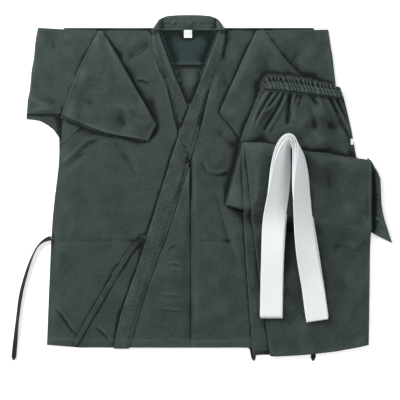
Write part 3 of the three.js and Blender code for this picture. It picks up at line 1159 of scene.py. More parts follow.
    def sheet(self, patch: Patch) -> None:
        """Measures the flat size of a sheet's cut, and keeps nothing of it.

        Args:
            patch: its shape from above.
        """
        width, length = patch.width() * MM, patch.length() * MM

    def tube_sheet(self, patches: tuple[Patch, ...]) -> None:
        """Measures the flat cut of a tube of cloth, which goes round both plies, by its area and length, and
        keeps neither.

        The cut isn't a rectangle. The declared width is a little more than its mean width.

        Args:
            patches: the shapes of its layers from above.
        """
        area = sum(patch.area() for patch in patches) * 2 * MM * MM
        length = sum(patch.length() for patch in patches) * MM


@dataclass
class Layer:
    """One pressed layer of a sleeve or leg: where it is, and its lower and upper surfaces."""

    xy: Grid
    low: Grid
    high: Grid
    lip: Grid | float = 0.0

    def plies(self) -> list[Grid]:
        """The lower and the upper ply, of which the lower one reaches further out at an open end."""
        under = self.xy + self.lip
        return [np.dstack([under, self.low]), np.dstack([self.xy, self.high])]


@dataclass(frozen=True)
class LayerPlan:
    """How one layer of a sleeve or leg is laid.

    Attributes:
        patch: its shape from above.
        drape: how it lies.
        puff: how much higher it is away from its folded sides.
        turn_in: how far it stops short of the fold at its start and at its end.
        mouth: how far its open end gapes.
        lip: how far its lower ply shows past its upper ply at its open end.
        upper: more height for its upper ply.
    """

    patch: Patch
    drape: Drape
    puff: float = 0.6
    turn_in: tuple[float, float] = (0.0, 0.0)
    mouth: float = 0.0
    lip: float = 0.0
    upper: tuple[Fold, ...] = ()


class FoldedTube:
    """A sleeve or a leg pressed flat and folded over on itself, layer on layer."""

    PLY = 0.5
    THICK = 1.7
    SIDE_STEPS = 5
    TURN_STEPS = 7

    def __init__(self, room: Workroom, columns: int, pitch: float = 2.6) -> None:
        """Starts with no layers.

        Args:
            room: the workroom.
            columns: how many points go across each ply.
            pitch: the distance between rows along the tube.
        """
        self.room = room
        self.us = 0.5 - 0.5 * np.cos(np.linspace(0.0, math.pi, columns))
        self.us = 0.35 * self.us + 0.65 * np.linspace(0.0, 1.0, columns)
        self.pitch = pitch
        self.layers: list[Layer] = []
        self.plans: list[LayerPlan] = []

    def lay(self, plan: LayerPlan) -> Layer:
        """Lays the next layer on the heap.

        Args:
            plan: how it is laid.

        Returns:
            The layer.
        """
        width, length = plan.patch.width(), plan.patch.length()
        inset = self.THICK / 2 / width
        us = inset + (1 - 2 * inset) * self.us
        first, last = plan.turn_in[0] / length, 1 - plan.turn_in[1] / length
        vs = first + (last - first) * shares(length, self.pitch)
        xy = plan.patch.place(us, vs)
        x, y = xy[..., 0], xy[..., 1]
        low = self.room.rest(plan.drape, x, y)
        side = np.minimum(us, 1 - us)[None] * width
        puff = plan.puff * smooth_step(side / 22.0)
        high = low + self.THICK + puff
        waves = replace(plan.drape, folds=plan.upper, seed=plan.drape.seed + 7).relief(x, y)
        high = high + waves * smooth_step(side / 12.0)
        if plan.mouth:
            open_end = np.exp(-((1 - vs) * length / 9.0))[:, None]
            high = high + plan.mouth * open_end * smooth_step(side / 30.0)
        high = np.maximum(high, low + self.THICK * 0.8)
        layer = Layer(xy, low, high)
        if plan.lip:
            outwards = xy[-1] - xy[-4]
            outwards = outwards / np.linalg.norm(outwards, axis=1)[:, None]
            near_end = smooth_step(1 - (1 - vs) * length / 25.0)[:, None, None]
            inside = smooth_step(np.minimum(us, 1 - us) * width / 12.0)[:, None]
            layer.lip = plan.lip * near_end * outwards[None] * inside
        self.layers.append(layer)
        self.plans.append(plan)
        self.room.heap.lay(np.dstack([xy, high]))
        return layer

    def turn(self, lower: Grid, upper: Grid, away: Grid) -> Grid:
        """The rows that carry one ply round a fold.

        Args:
            lower: the ply's last row below.
            upper: its first row above.
            away: each column's direction out of the fold, seen from above.

        Returns:
            The rows between them.
        """
        rows = []
        radius = np.abs(upper[:, 2] - lower[:, 2]) / 2
        for step in range(1, self.TURN_STEPS + 1):
            angle = math.pi * step / (self.TURN_STEPS + 1)
            row = lower + (upper - lower) * (1 - math.cos(angle)) / 2
            row[:, :2] += away * (radius * math.sin(angle))[:, None]
            rows.append(row)
        return np.array(rows)

    def plies(self) -> tuple[Grid, Grid]:
        """Both plies from end to end, the one that starts below and the one that starts above."""
        below, above = [], []
        for number, layer in enumerate(self.layers):
            sheets = layer.plies()
            if number % 2:
                sheets.reverse()
            if number:
                edge = (layer.xy[0] + self.layers[number - 1].xy[-1]) / 2
                inward = (layer.xy[2] + self.layers[number - 1].xy[-3]) / 2 - edge
                run = np.gradient(edge, axis=0)
                away = np.stack([run[:, 1], -run[:, 0]], axis=1)
                away /= np.linalg.norm(away, axis=1)[:, None]
                away *= -np.sign((away * inward).sum(axis=1))[:, None]
                below.append(self.turn(below[-1][-1], sheets[0][0], away))
                above.append(self.turn(above[-1][-1], sheets[1][0], away))
            below.append(sheets[0])
            above.append(sheets[1])
        return np.concatenate(below), np.concatenate(above)

    def side(self, first: Grid, second: Grid, outward: Grid) -> Grid:
        """The points that carry the cloth round a folded side, row by row.

        Args:
            first: the side's points on one ply.
            second: its points on the other.
            outward: the direction out of the side, seen from above.

        Returns:
            The points between them.
        """
        radius = np.linalg.norm(second - first, axis=1) / 2
        columns = []
        for step in range(1, self.SIDE_STEPS + 1):
            angle = math.pi * step / (self.SIDE_STEPS + 1)
            column = first + (second - first) * (1 - math.cos(angle)) / 2
            column[:, :2] += outward * (np.minimum(radius, 1.6) * math.sin(angle))[:, None]
            columns.append(column)
        return np.stack(columns, axis=1)

    def build(self, name: str) -> bpy.types.Object:
        """Makes the tube's cloth, open at both ends.

        Args:
            name: the piece's name.

        Returns:
            The new object.
        """
        below, above = self.plies()

        def outward(edge: int, inner: int) -> Grid:
            """Each row's direction out of one side."""
            gap = (below[:, edge] - below[:, inner])[:, :2]
            return gap / np.maximum(np.linalg.norm(gap, axis=1), 1e-6)[:, None]

        right = self.side(below[:, -1], above[:, -1], outward(-1, -4))
        left = self.side(above[:, 0], below[:, 0], outward(0, 3))
        ring = np.concatenate([below, right, above[:, ::-1], left], axis=1)
        rows, around = ring.shape[:2]
        index = np.arange(rows * around).reshape(rows, around)
        looped = np.concatenate([index, index[:, :1]], axis=1)
        steps = np.linalg.norm(np.diff(ring, axis=0), axis=2).mean(axis=1)
        along = np.concatenate([[0.0], np.cumsum(steps)])
        spacing = np.linalg.norm(np.diff(ring, axis=1, append=ring[:, :1]), axis=2).mean(axis=0)
        across = np.concatenate([[0.0], np.cumsum(spacing)[:-1]])
        cloth = np.stack(np.meshgrid(across, along), axis=-1).reshape(-1, 2)
        count = below.shape[1]
        wear_and_highlight = np.zeros((rows, around))
        # The folded sides are made paler: partly abrasion, partly painted highlight on the rounded folds.
        wear_and_highlight[:, count:count + self.SIDE_STEPS] = 0.6
        wear_and_highlight[:, -self.SIDE_STEPS:] = 0.6
        flip = not turned_clockwise(self.layers[0].xy)
        piece = new_piece(name, ring.reshape(-1, 3), quads(looped, flip), cloth, wear_and_highlight.ravel())
        wall = piece.modifiers.new("wall", "SOLIDIFY")
        wall.thickness = self.PLY * MM
        wall.offset = -1.0
        settle(piece)
        return piece


def settle(piece: bpy.types.Object) -> None:
    """Makes a piece's modifiers part of its mesh."""
    graph = bpy.context.evaluated_depsgraph_get()
    done = bpy.data.meshes.new_from_object(piece.evaluated_get(graph))
    piece.modifiers.clear()
    old = piece.data
    piece.data = done
    done.name = piece.name
    bpy.data.meshes.remove(old)


# ---- jacket --------------------------------------------------------------------------------------
@dataclass
class JacketBack:
    """The back panel, the lining inside its neck, the collar and the label."""

    ply: float = 0.6
    hem: float = 14.0
    quilting: tuple[float, ...] = (0.1, 0.42, 0.72)

    def build(self, room: Workroom) -> None:
        """Lays the back and what is sewn inside it.

        Args:
            room: the workroom.
        """
        back = Patch.of_node("jacket_back_panel", ((0, 0), (1, 0), (0.91, 1), (0.09, 1)))
        piece = room.lay_ply("back_cloth", back, Drape(lift=0.15, waves=0.0), self.ply, 5.0,
                             hems=(self.hem, 0, 0, 0))
        room.dress(piece, DRILL, "jacket", ("jacket_back_panel",))
        room.sheet(back)
        yoke = Patch.of_node("back_yoke_lining", ((0, 0), (1, 0), (1, 1), (0, 1))).grown(end=8)
        piece = room.lay_ply("yoke_cloth", yoke, Drape(lift=0.15, waves=0.06, seed=3), self.ply, 3.0,
                             hems=(6, 0, 0, 0))
        room.dress(piece, LINING, "jacket", ("back_yoke_lining",))
        room.sheet(yoke)
        room.stitch("jacket", yoke.line((0.3, 0.7), (0.06, 0.06)))

    def build_collar(self, room: Workroom) -> None:
        """Lays the band round the back of the neck, inner side up.

        Args:
            room: the workroom.
        """
        collar = Patch.of_node("collar_back_neck", ((0, 0), (1, 0), (1, 0.66), (0, 0.66)), passes=2)
        collar = collar.grown(start=1.5).flared(12.0)
        folds = (Fold(((-70, 316), (-66, 292)), -2.6, 8.0), Fold(((23, 316), (20, 292)), -2.2, 6.0),
                 Fold(((-60, 298), (-44, 312)), 0.9, 3.0), Fold(((-28, 299), (-10, 312)), 0.7, 3.0))

        def bowed(xy: Grid, u: Grid, v: Grid) -> Grid:
            """The band stands up a little between the shoulders, with shallow rows of quilting."""
            rows = sum(-0.22 * np.exp(-((v - at) * 27 / 0.9) ** 2) for at in self.quilting)
            rolled = smooth_step((-76.0 - xy[..., 0]) / 2.5) + smooth_step((xy[..., 0] - 28.0) / 2.5)
            return 5.0 * np.sin(math.pi * u) ** 0.7 * smooth_step(v * 1.3) * (1.2 - v) + rows + 2.8 * rolled

        drape = Drape(lift=0.2, folds=folds, waves=0.1, wave_size=20, seed=5)
        piece = room.lay_ply("collar_band", collar, drape, 1.9, 1.6, edge=0.9, extra=bowed)
        room.dress(piece, BAND, "jacket", ("collar_back_neck",))
        room.sheet(collar)
        for share in self.quilting:
            room.stitch("jacket", collar.line((0.03, 0.97), (share, share)))

    def build_label(self, room: Workroom) -> None:
        """Lays the plain label on the lining.

        Args:
            room: the workroom.
        """
        label = Patch.of_node("neck_label", ((0, 0), (1, 0), (1, 1), (0, 1)), passes=0)
        drape = Drape(lift=0.1, waves=0.12, wave_size=18, seed=7, floor=1.75)
        piece = room.lay_ply("label_satin", label, drape, 0.35, 0.8, edge=0.3)
        room.dress(piece, SATIN, "neck_label", ("neck_label",))
        room.sheet(label)


class WearerSide(Enum):
    """Which side of the wearer a piece is on, with the sign of its direction along +X."""

    RIGHT = ("right", -1)
    LEFT = ("left", 1)

    @property
    def word(self) -> str:
        """The side's name in the CAD pieces' names."""
        return self.value[0]


@dataclass
class JacketFront:
    """One front of the jacket: the main panel, the underarm gusset, the overlap panel and the lapel."""

    side: WearerSide
    folds: tuple[Fold, ...]
    overlap_folds: tuple[Fold, ...]
    lapel_folds: tuple[Fold, ...]
    ply: float = 0.6
    hem: float = 14.0
    lapel: float = 1.9
    quilting: tuple[float, ...] = (0.08, 0.88)

    def corners(self, points: Points) -> Points:
        """Box shares for the wearer's left, turned over for the wearer's right."""
        return points if self.side is WearerSide.LEFT else tuple((1 - x, y) for x, y in points)

    def build(self, room: Workroom) -> None:
        """Lays the front's panels and its lapel.

        Args:
            room: the workroom.
        """
        word = self.side.word
        node = f"jacket_{word}_front"
        front = Patch.of_node(node, self.corners(((0, 1), (0.88, 1), (1, 0.01), (0, 0))),
                              drop=self.corners(((0.73, 0.70),)))
        drape = Drape(lift=0.3, cushion=2.4, reach=5, spread=6, folds=self.folds, waves=0.3, wave_size=85,
                      seed=11 + len(word))
        piece = room.lay_ply(f"{word}_front_cloth", front, drape, self.ply, 2.4, hems=(0, self.hem, 0, 0),
                             sewn=(5, 0, 6, 5))
        room.dress(piece, DRILL, "jacket", (node,))
        room.sheet(front)
        width, length = front.width(), front.length()
        room.stitch("jacket", front.line((0.01, 0.99), (1 - self.hem / length,) * 2))
        room.stitch("jacket", front.line((1 - 8 / width,) * 2, (0.32, 0.985)))
        room.stitch("jacket", front.line((3 / width,) * 2, (0.46, 0.98)))
        self.build_overlap(room)
        self.build_gusset(room)
        self.build_lapel(room)

    def build_overlap(self, room: Workroom) -> None:
        """Lays the panel that carries the front across the middle.

        Args:
            room: the workroom.
        """
        node = f"{self.side.word}_overlap_panel"
        ring = self.corners(((0.96, 1), (1, 1), (1, 0), (0, 0)))
        overlap = Patch.of_node(node, ring, passes=3)
        drape = Drape(lift=0.3, cushion=1.1, reach=4, spread=5, folds=self.overlap_folds, waves=0.22,
                      wave_size=60, seed=17 + len(self.side.word))
        piece = room.lay_ply(f"{self.side.word}_overlap_cloth", overlap, drape, self.ply, 2.2,
                             hems=(0, self.hem, 0, 0), sewn=(0, 0, 5, 5))
        room.dress(piece, DRILL, "jacket", (node,))
        room.sheet(overlap)
        room.stitch("jacket", overlap.line((0.03, 0.97), (1 - self.hem / overlap.length(),) * 2))

    def build_gusset(self, room: Workroom) -> None:
        """Lays the three-cornered piece under the arm.

        Args:
            room: the workroom.
        """
        node = f"{self.side.word}_underarm_gusset"
        ring = outline_of(node)
        order = np.argsort(ring[:, 1])
        foot, tip, top = ring[order[0]], ring[order[1]], ring[order[2]]
        foot, tip, top = (point + (point - ring.mean(axis=0)) * 0.03 for point in (foot, tip, top))
        blunt = tip + (foot - top) * 0.02
        edges = [np.array(ends) for ends in ((top, foot), (tip, blunt), (top, tip), (foot, blunt))]
        gusset = Patch(*edges, passes=0)
        drape = Drape(lift=0.12, reach=1.5, spread=2, waves=0.1, seed=19)
        piece = room.lay_ply(f"{self.side.word}_gusset_cloth", gusset, drape, 0.5, 1.6)
        room.dress(piece, DRILL, "jacket", (node,))
        room.sheet(gusset)
        for ends in ((top, tip), (tip, foot)):
            room.stitch("jacket", np.array([ends[0] * 0.97 + tip * 0.03, ends[1]]))

    def build_lapel(self, room: Workroom) -> None:
        """Lays the quilted band along the front's edge.

        Args:
            room: the workroom.
        """
        word = self.side.word
        ring = self.corners(((0.93, 1), (0.98, 0.967), (0.135, 0), (0, 0)))
        lapel = Patch.of_node(f"{word}_lapel", ring, passes=6)

        def quilted(xy: Grid, u: Grid, v: Grid) -> Grid:
            """Rows of quilting with small puckers between the stitches."""
            rows = sum(-0.3 * np.exp(-((u - at) * 29 / 1.0) ** 2) for at in self.quilting)
            run = v * lapel.length()
            tick = np.exp(-(((run + 60 * (u - 0.1) + 2.2 * np.sin(run * 0.31)) % 10.0 - 5.0) / 1.25) ** 2)
            edge_ticks = np.exp(-((u - 0.13) / 0.11) ** 2) + 0.7 * np.exp(-((u - 0.85) / 0.09) ** 2)
            rows = rows - 1.6 * tick * edge_ticks * (0.5 + 0.5 * np.sin(run * 0.23))
            pucker = 0.12 * np.sin(v * lapel.length() * 2 * math.pi / 7.5 + 2 * np.sin(v * 40))
            return rows + pucker * np.sin(math.pi * u)

        drape = Drape(lift=0.25, rim=2.5, reach=3, spread=5, folds=self.lapel_folds, waves=0.22, wave_size=50,
                      seed=23 + len(word))
        piece = room.lay_ply(f"{word}_lapel_band", lapel, drape, self.lapel, 1.4, edge=0.95,
                             sewn=(0, 0, 0, 9), extra=quilted)
        room.dress(piece, BAND, "jacket", (f"{word}_lapel",))
        room.sheet(lapel)
        for share in self.quilting:
            room.stitch("jacket", lapel.line((share, share), (0.015, 0.995), 240), -0.05)


# ---- sleeves -------------------------------------------------------------------------------------
@dataclass
class RightSleeve:
    """The wearer's right sleeve, folded in at the elbow and folded back at the cuff."""

    body_top: float = 2.35
    forearm_low: float = 2.8
    forearm_top: float = 5.0
    cuff_low: float = 5.3

    def build(self, room: Workroom) -> None:
        """Lays the sleeve's three layers as two pieces that bend at its folds.

        Args:
            room: the workroom.
        """
        upper = Patch.of_node("right_sleeve_upper", ((1, 0), (1, 0.976), (0.37, 1), (0, 0.19)), passes=3)
        upper = upper.grown(start=2.5)
        arm = FoldedTube(room, 64)
        arm.lay(LayerPlan(upper, Drape(lift=0.1, waves=0.0, reach=1.5, spread=1.5, floor=0.2), puff=0.1,
                          turn_in=(0.0, 2.0)))
        arm.layers[0].high = np.minimum(arm.layers[0].high, self.body_top)
        forearm = Patch.of_node("right_sleeve_forearm", ((0, 0.1), (0.09, 1), (0.6, 0.96), (1, 0)), passes=3)
        folds = (Fold(((-272, 262), (-262, 215), (-258, 160)), 0.7, 14, 9),
                 Fold(((-318, 196), (-296, 172), (-262, 150)), -0.9, 7, 10),
                 Fold(((-322, 168), (-300, 156), (-272, 146)), 0.7, 6),
                 Fold(((-296, 272), (-262, 262), (-232, 268)), -0.5, 10),
                 Fold(((-236, 250), (-226, 220), (-238, 180)), 0.6, 10, 7),
                 Fold(((-322, 139), (-292, 142), (-262, 139)), 1.4, 6, 9))
        arm.lay(LayerPlan(forearm, Drape(lift=0.2, reach=4, spread=5, floor=self.forearm_low, waves=0.2,
                                         wave_size=48, seed=31), upper=folds,
                          puff=1.5, turn_in=(2.0, 2.2)))
        piece = arm.build("right_sleeve_cloth")
        piece.data.materials.append(DRILL.material())
        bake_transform(piece)
        room.label(piece, DRILL, ("right_sleeve_upper", "right_sleeve_forearm"))
        room.tube_sheet((upper, forearm))
        self.build_cuff(room, arm.layers[1])

    def build_cuff(self, room: Workroom, forearm: Layer) -> None:
        """Lays the cuff, joined inside the end of the forearm.

        Args:
            room: the workroom.
            forearm: the layer that it folds back from.
        """
        cuff = Patch.of_node("right_sleeve_cuff", ((1, 0.16), (0.46, 1), (0, 0.23), (0.91, 0)), passes=3)
        tube = FoldedTube(room, 64)
        rows = slice(-4, None)
        tuck = 0.35
        within = np.minimum(forearm.high[rows] - tuck, self.forearm_top)
        below = np.minimum(forearm.low[rows] + tuck, within - 0.5)
        tube.layers.append(Layer(forearm.xy[rows], below, within))
        folds = (Fold(((-190, 262), (-176, 215), (-166, 160)), 0.5, 12),
                 Fold(((-232, 172), (-206, 158), (-196, 136)), -0.35, 7, 5),
                 Fold(((-166, 150), (-140, 148), (-128, 120)), 0.6, 9, 6),
                 Fold(((-118, 150), (-124, 130), (-118, 108)), -0.25, 7),
                 Fold(((-158, 128), (-130, 116), (-104, 104)), -0.3, 5))
        drape = Drape(lift=0.25, reach=5, spread=7, floor=self.cuff_low, waves=0.22, wave_size=42, seed=37)
        plan = LayerPlan(cuff, drape, puff=1.6, turn_in=(2.2, 0.0), mouth=4.0, lip=4.5, upper=folds)
        layer = tube.lay(plan)
        piece = tube.build("right_cuff_cloth")
        piece.data.materials.append(DRILL.material())
        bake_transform(piece)
        room.label(piece, DRILL, ("right_sleeve_cuff",))
        room.tube_sheet((cuff,))
        row = layer.xy.shape[0] - 6
        room.stitch("sleeve_cuff", layer.xy[row, 2:-2], 0.1)


@dataclass
class LeftSleeve:
    """The wearer's left sleeve, folded in twice and partly under the trousers."""

    def build(self, room: Workroom) -> None:
        """Lays the sleeve's three layers as one piece.

        Args:
            room: the workroom.
        """
        upper = Patch.of_node("left_sleeve_upper", ((0, 0), (0, 0.99), (0.445, 1), (1, 0.205)), passes=3)
        forearm = Patch.of_node("left_sleeve_forearm", ((1, 0), (0.905, 1), (0.303, 0.975), (0, 0.06)),
                                passes=3)
        cuff = Patch.of_node("left_sleeve_cuff", ((0, 0.389), (0.345, 0.996), (1, 0.455), (0.356, 0)),
                             passes=3)
        sleeve = FoldedTube(room, 64)
        sleeve.lay(LayerPlan(upper, Drape(lift=0.1, waves=0.0, reach=1.5, spread=1.5, floor=0.2), puff=1.6,
                             turn_in=(0.0, 2.6)))
        forearm_folds = (Fold(((226, 268), (190, 240), (150, 232)), 0.5, 10),
                         Fold(((240, 215), (205, 205), (180, 212)), -0.4, 8))
        sleeve.lay(LayerPlan(forearm, Drape(lift=0.2, reach=4, spread=5, waves=0.2, wave_size=60, seed=41,
                                            folds=forearm_folds), puff=0.6, turn_in=(2.6, 2.2)))
        cuff_folds = (Fold(((112, 280), (150, 240), (182, 210), (226, 196)), 0.7, 12, 6),
                      Fold(((86, 235), (70, 200), (58, 160)), 0.4, 9))
        sleeve.lay(LayerPlan(cuff, Drape(lift=0.25, reach=5, spread=7, waves=0.2, wave_size=55, seed=43),
                             puff=1.5, turn_in=(2.2, 0.0), mouth=3.0, lip=4.0, upper=cuff_folds))
        piece = sleeve.build("left_sleeve_cloth")
        room.dress(piece, DRILL, "jacket", ("left_sleeve_upper", "left_sleeve_forearm", "left_sleeve_cuff"))
        room.tube_sheet((upper, forearm, cuff))


# ---- ties ----------------------------------------------------------------------------------------
@dataclass
class Tie:
    """A narrow sewn tape that fastens the jacket.

    Attributes:
        name: the piece's name.
        node: the CAD piece that it stands for.
        body: the body that it moves with, if that is the jacket; a tie on another body is left unattached.
        start: where its sewn end is in the CAD piece's box, as two corners.
        end: where its free end is, as two corners.
        twist: how far it is turned on edge, in radians, at shares of its length.
        worn: how much darker it is all along than the cloth round it.
        tuck: how far its sewn end reaches past the CAD piece, under or onto what it is sewn to.
        bend: how much of its sewn end would bend when it swings; the row where that ends is found and not
            used.
        thickness: how thick it is.
        floor: the least height of its underside.
    """

    DECLARED_WIDTH = 10.0

    name: str
    node: str
    body: str
    start: Points
    end: Points
    twist: Points = ((0.0, 0.0), (1.0, 0.0))
    worn: float = 0.45
    tuck: float = 0.0
    bend: float = 10.0
    thickness: float = 1.3
    floor: float = 0.2

    def build(self, room: Workroom) -> None:
        """Lays the tape.

        Args:
            room: the workroom.
        """
        patch = Patch.of_node(self.node, self.start + self.end, passes=3).grown(start=self.tuck)
        vs = shares(patch.length(), 1.6, 0.8)
        middle = patch.place(np.array([0.5]), vs)[:, 0]
        width = float(np.median(np.linalg.norm(patch.place(np.array([0.0]), vs)[:, 0]
                                               - patch.place(np.array([1.0]), vs)[:, 0], axis=1)))
        ahead = np.gradient(middle, axis=0)
        ahead /= np.linalg.norm(ahead, axis=1)[:, None]
        roll = np.interp(vs, *zip(*self.twist))
        roll = np.convolve(np.pad(roll, 6, mode="edge"), np.ones(13) / 13, mode="valid")
        half = width / 2 * np.minimum(1.0, 0.35 + (1 - vs) * patch.length() / 9.0)
        level = room.rest(Drape(lift=0.1, waves=0.1, wave_size=30, seed=51, reach=3, spread=4,
                                floor=self.floor), middle[:, 0], middle[:, 1])
        height = level + self.thickness / 2 + np.abs(np.sin(roll)) * half * 0.8
        across = np.stack([-ahead[:, 1] * np.cos(roll), ahead[:, 0] * np.cos(roll), np.sin(roll)], axis=1)
        normal = np.stack([ahead[:, 1] * np.sin(roll), -ahead[:, 0] * np.sin(roll), np.cos(roll)], axis=1)
        us = np.array([-1, -0.93, -0.75, -0.4, 0, 0.4, 0.75, 0.93, 1.0])
        centre = np.column_stack([middle, height])[:, None]
        spine = centre + across[:, None] * us[None, :, None] * half[:, None, None]
        rim = np.minimum.reduce([np.broadcast_to(((1 - np.abs(us)) * width / 2)[None], spine.shape[:2]),
                                 np.broadcast_to((vs * patch.length())[:, None], spine.shape[:2]),
                                 np.broadcast_to(((1 - vs) * patch.length())[:, None], spine.shape[:2])])
        folded_edges = 1 - 0.25 * np.exp(-((np.abs(us) - 0.62) / 0.1) ** 2)[None]
        depth = (self.thickness / 2 * rounded(rim, 0.8) * folded_edges)[..., None] * normal[:, None]
        cloth = np.stack(np.meshgrid(us * width / 2, vs * patch.length()), axis=-1)
        # Paler at the rim, darker all along, and painted dark near the sewn end as the shadow where it tucks
        # under the cloth it is sewn to.
        wear_and_highlight = 0.3 * np.exp(-rim / 1.5) - self.worn - 1.4 * np.exp(-vs * patch.length() / 8.0)[:, None]
        piece = shell(self.name, spine + depth, spine - depth, cloth, wear_and_highlight, True)
        fix_normals(piece)
        if self.body == "jacket":
            room.dress(piece, DRILL, self.body, (self.node,))
        else:
            piece.data.materials.append(DRILL.material())
            bent = int(np.searchsorted(vs * patch.length(), self.bend))
            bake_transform(piece)
            room.label(piece, DRILL, (self.node,))
        patch.length() * MM
        room.heap.lay(spine + depth)


def fix_normals(piece: bpy.types.Object) -> None:
    """Turns a closed piece's faces outwards."""
    work = bmesh.new()
    work.from_mesh(piece.data)
    bmesh.ops.recalc_face_normals(work, faces=work.faces)
    work.to_mesh(piece.data)
    work.free()


# ---- trousers ------------------------------------------------------------------------------------
PLEATS: tuple[Fold, ...] = (
    Fold(((124, 184), (110, 159), (99, 136), (88, 108)), 1.1, 5, 3, 0.15),
    Fold(((136, 180), (120, 156), (106, 132), (98, 112)), 1.3, 4, 4, 0.2, 0.8),
    Fold(((149, 180), (134, 159), (112, 136)), 1.0, 3.5, 3.5, 0.25, 0.8),
    Fold(((157, 180), (146, 152), (128, 121), (114, 100)), 1.5, 4, 4, 0.15, 0.8),
    Fold(((165, 178), (161, 150), (157, 112)), -1.5, 3.5, 4.5, 0.15),
    Fold(((172, 180), (168, 155), (172, 118)), 0.9, 5, 4, 0.2),
    Fold(((178, 180), (170, 157), (167, 138)), -1.0, 3, 3, 0.25),
    Fold(((184, 180), (180, 160), (178, 146)), -0.7, 2.6, 2.6, 0.3),
    Fold(((196, 180), (207, 158), (219, 150)), -1.2, 4, 3, 0.25),
    Fold(((194, 156), (206, 128), (211, 100)), -0.8, 5, 7, 0.25),
    Fold(((196, 128), (202, 96), (213, 72)), -0.6, 6, 8, 0.3),
    Fold(((214, 176), (220, 150), (224, 120)), 0.7, 8, 8, 0.25),
    Fold(((233, 172), (249, 141), (264, 111), (279, 87)), -1.5, 3.5, 4, 0.12),
    Fold(((238, 172), (254, 142), (268, 116)), 0.9, 3, 3, 0.2),
    Fold(((244, 170), (260, 144), (276, 113)), -1.2, 3, 3, 0.2),
    Fold(((226, 172), (238, 150), (251, 128)), 0.8, 5, 4, 0.25),
    Fold(((251, 168), (262, 150), (272, 130)), 0.7, 2.6, 2.6, 0.25),
)


@dataclass
class Trousers:
    """The trousers, laid on their side and folded in three, with a gathered waistband."""

    COLUMNS = 84
    PITCH = 2.9

    nested: float = 2.2
    outer: float = 5.0

    def build(self, room: Workroom) -> None:
        """Lays the legs layer by layer, then the waistband.

        Args:
            room: the workroom.
        """
        seat = self.seat_patch("under_leg_seat")
        mid = Patch.of_node("under_leg_mid", ((0, 0.3), (0.998, 0), (0.998, 0.8), (0.117, 1)), passes=2)
        shins = {word: self.shin_patch(word) for word in ("under", "top")}
        under, top = (FoldedTube(room, self.COLUMNS, self.PITCH) for _ in range(2))
        wide = dict(reach=5, spread=8)
        under.lay(LayerPlan(seat, Drape(lift=0.3, waves=0.3, seed=61, **wide), 0.6, (0.0, self.outer)))
        top.lay(LayerPlan(self.seat_patch("top_leg_seat"), Drape(lift=0.2, waves=0.3, seed=62, **wide), 3.6,
                          (0.0, self.nested + 1), upper=PLEATS))
        self.build_gusset(room)
        top.lay(LayerPlan(mid, Drape(lift=0.2, waves=0.1, seed=63, **wide), 0.3,
                          (self.nested + 1, self.outer)))
        under.lay(LayerPlan(mid, Drape(lift=0.2, waves=0.1, seed=64, **wide), 0.3, (self.outer, self.nested)))
        under.lay(LayerPlan(shins["under"], Drape(lift=0.2, waves=0.25, seed=65, **wide), 0.4,
                            (self.nested, 0.0)))
        folds = (
            Fold(((240, -104), (262, -118), (290, -120), (308, -96)), -1.1, 7, 10),
            Fold(((262, -66), (285, -70), (306, -64)), -0.6, 6),
            Fold(((268, -288), (290, -272), (308, -256)), -0.8, 6, 9),
            Fold(((200, -150), (222, -190), (232, -250)), 0.6, 14),
            Fold(((100, 60), (103, 0), (100, -40)), 0.5, 8),
            Fold(((268, 30), (272, -40), (266, -120)), 0.6, 18),
            Fold(((304, 40), (305, -20), (304, -90)), -0.35, 3),
        )
        shin = top.lay(LayerPlan(shins["top"], Drape(lift=0.2, waves=0.3, wave_size=70, seed=66, **wide), 0.9,
                                 (self.outer, 0.0), mouth=1.2, upper=folds))
        for name, tube, nodes in (
                ("under_leg_cloth", under, ("under_leg_seat", "under_leg_mid", "under_leg_shin")),
                ("top_leg_cloth", top, ("top_leg_seat", "top_leg_mid", "top_leg_shin"))):
            piece = tube.build(name)
            room.dress(piece, DRILL, "trousers", nodes)
            room.tube_sheet(tuple(plan.patch for plan in tube.plans))
        row = shin.xy.shape[0] - 6
        for step in (row, row - 1):
            room.stitch("trousers", shin.xy[step, 3:-3], 0.1)
        room.stitch("trousers", shin.xy[4:-2, -4], 0.1)

    def seat_patch(self, node: str) -> Patch:
        """The seat seen from above, from the waist to the lower fold."""
        return Patch.of_node(node, ((0.256, 1), (0.81, 0.94), (1, 0), (0, 0.19)), passes=5).grown(start=5)

    def shin_patch(self, word: str) -> Patch:
        """A leg below the upper fold, seen from above, down to its hem."""
        corners = {"top": ((0.0, 0.998), (1, 0.92), (0.987, 0.053), (0.206, 0)),
                   "under": ((0.0, 0.998), (1, 0.92), (0.987, 0.053), (0.088, 0))}
        return Patch.of_node(f"{word}_leg_shin", corners[word], passes=3)

    def build_gusset(self, room: Workroom) -> None:
        """Lays the crotch gusset, which shows past the folded seat.

        Args:
            room: the workroom.
        """
        gusset = Patch.of_node("crotch_gusset", ((0.0, 1), (0.23, 0.89), (1, 0), (0, 0.127)), passes=3)
        gusset = gusset.grown(left=9)
        folds = (Fold(((331, 22), (322, -8), (314, -56)), -2.2, 4, 5, 0.12),
                 Fold(((315, -20), (330, -16), (342, -8)), 2.2, 2.6),
                 Fold(((315, -27), (330, -24), (342, -18)), -2.4, 2.4),
                 Fold(((315, -33), (332, -31), (344, -26)), 2.2, 2.4),
                 Fold(((315, -41), (330, -38), (344, -36)), -2.4, 2.6),
                 Fold(((316, -50), (330, -62), (348, -84)), 1.4, 6))
        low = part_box("crotch_gusset")[0].z / MM
        drape = Drape(lift=0.2, cushion=3.0, rim=5.0, reach=3, spread=6, floor=low - 2.0, folds=folds,
                      waves=0.3, wave_size=25, seed=71)
        piece = room.lay_ply("crotch_gusset_cloth", gusset, drape, 2.2, 1.5, edge=1.0)
        room.dress(piece, DRILL, "trousers", ("crotch_gusset",))
        room.sheet(gusset)


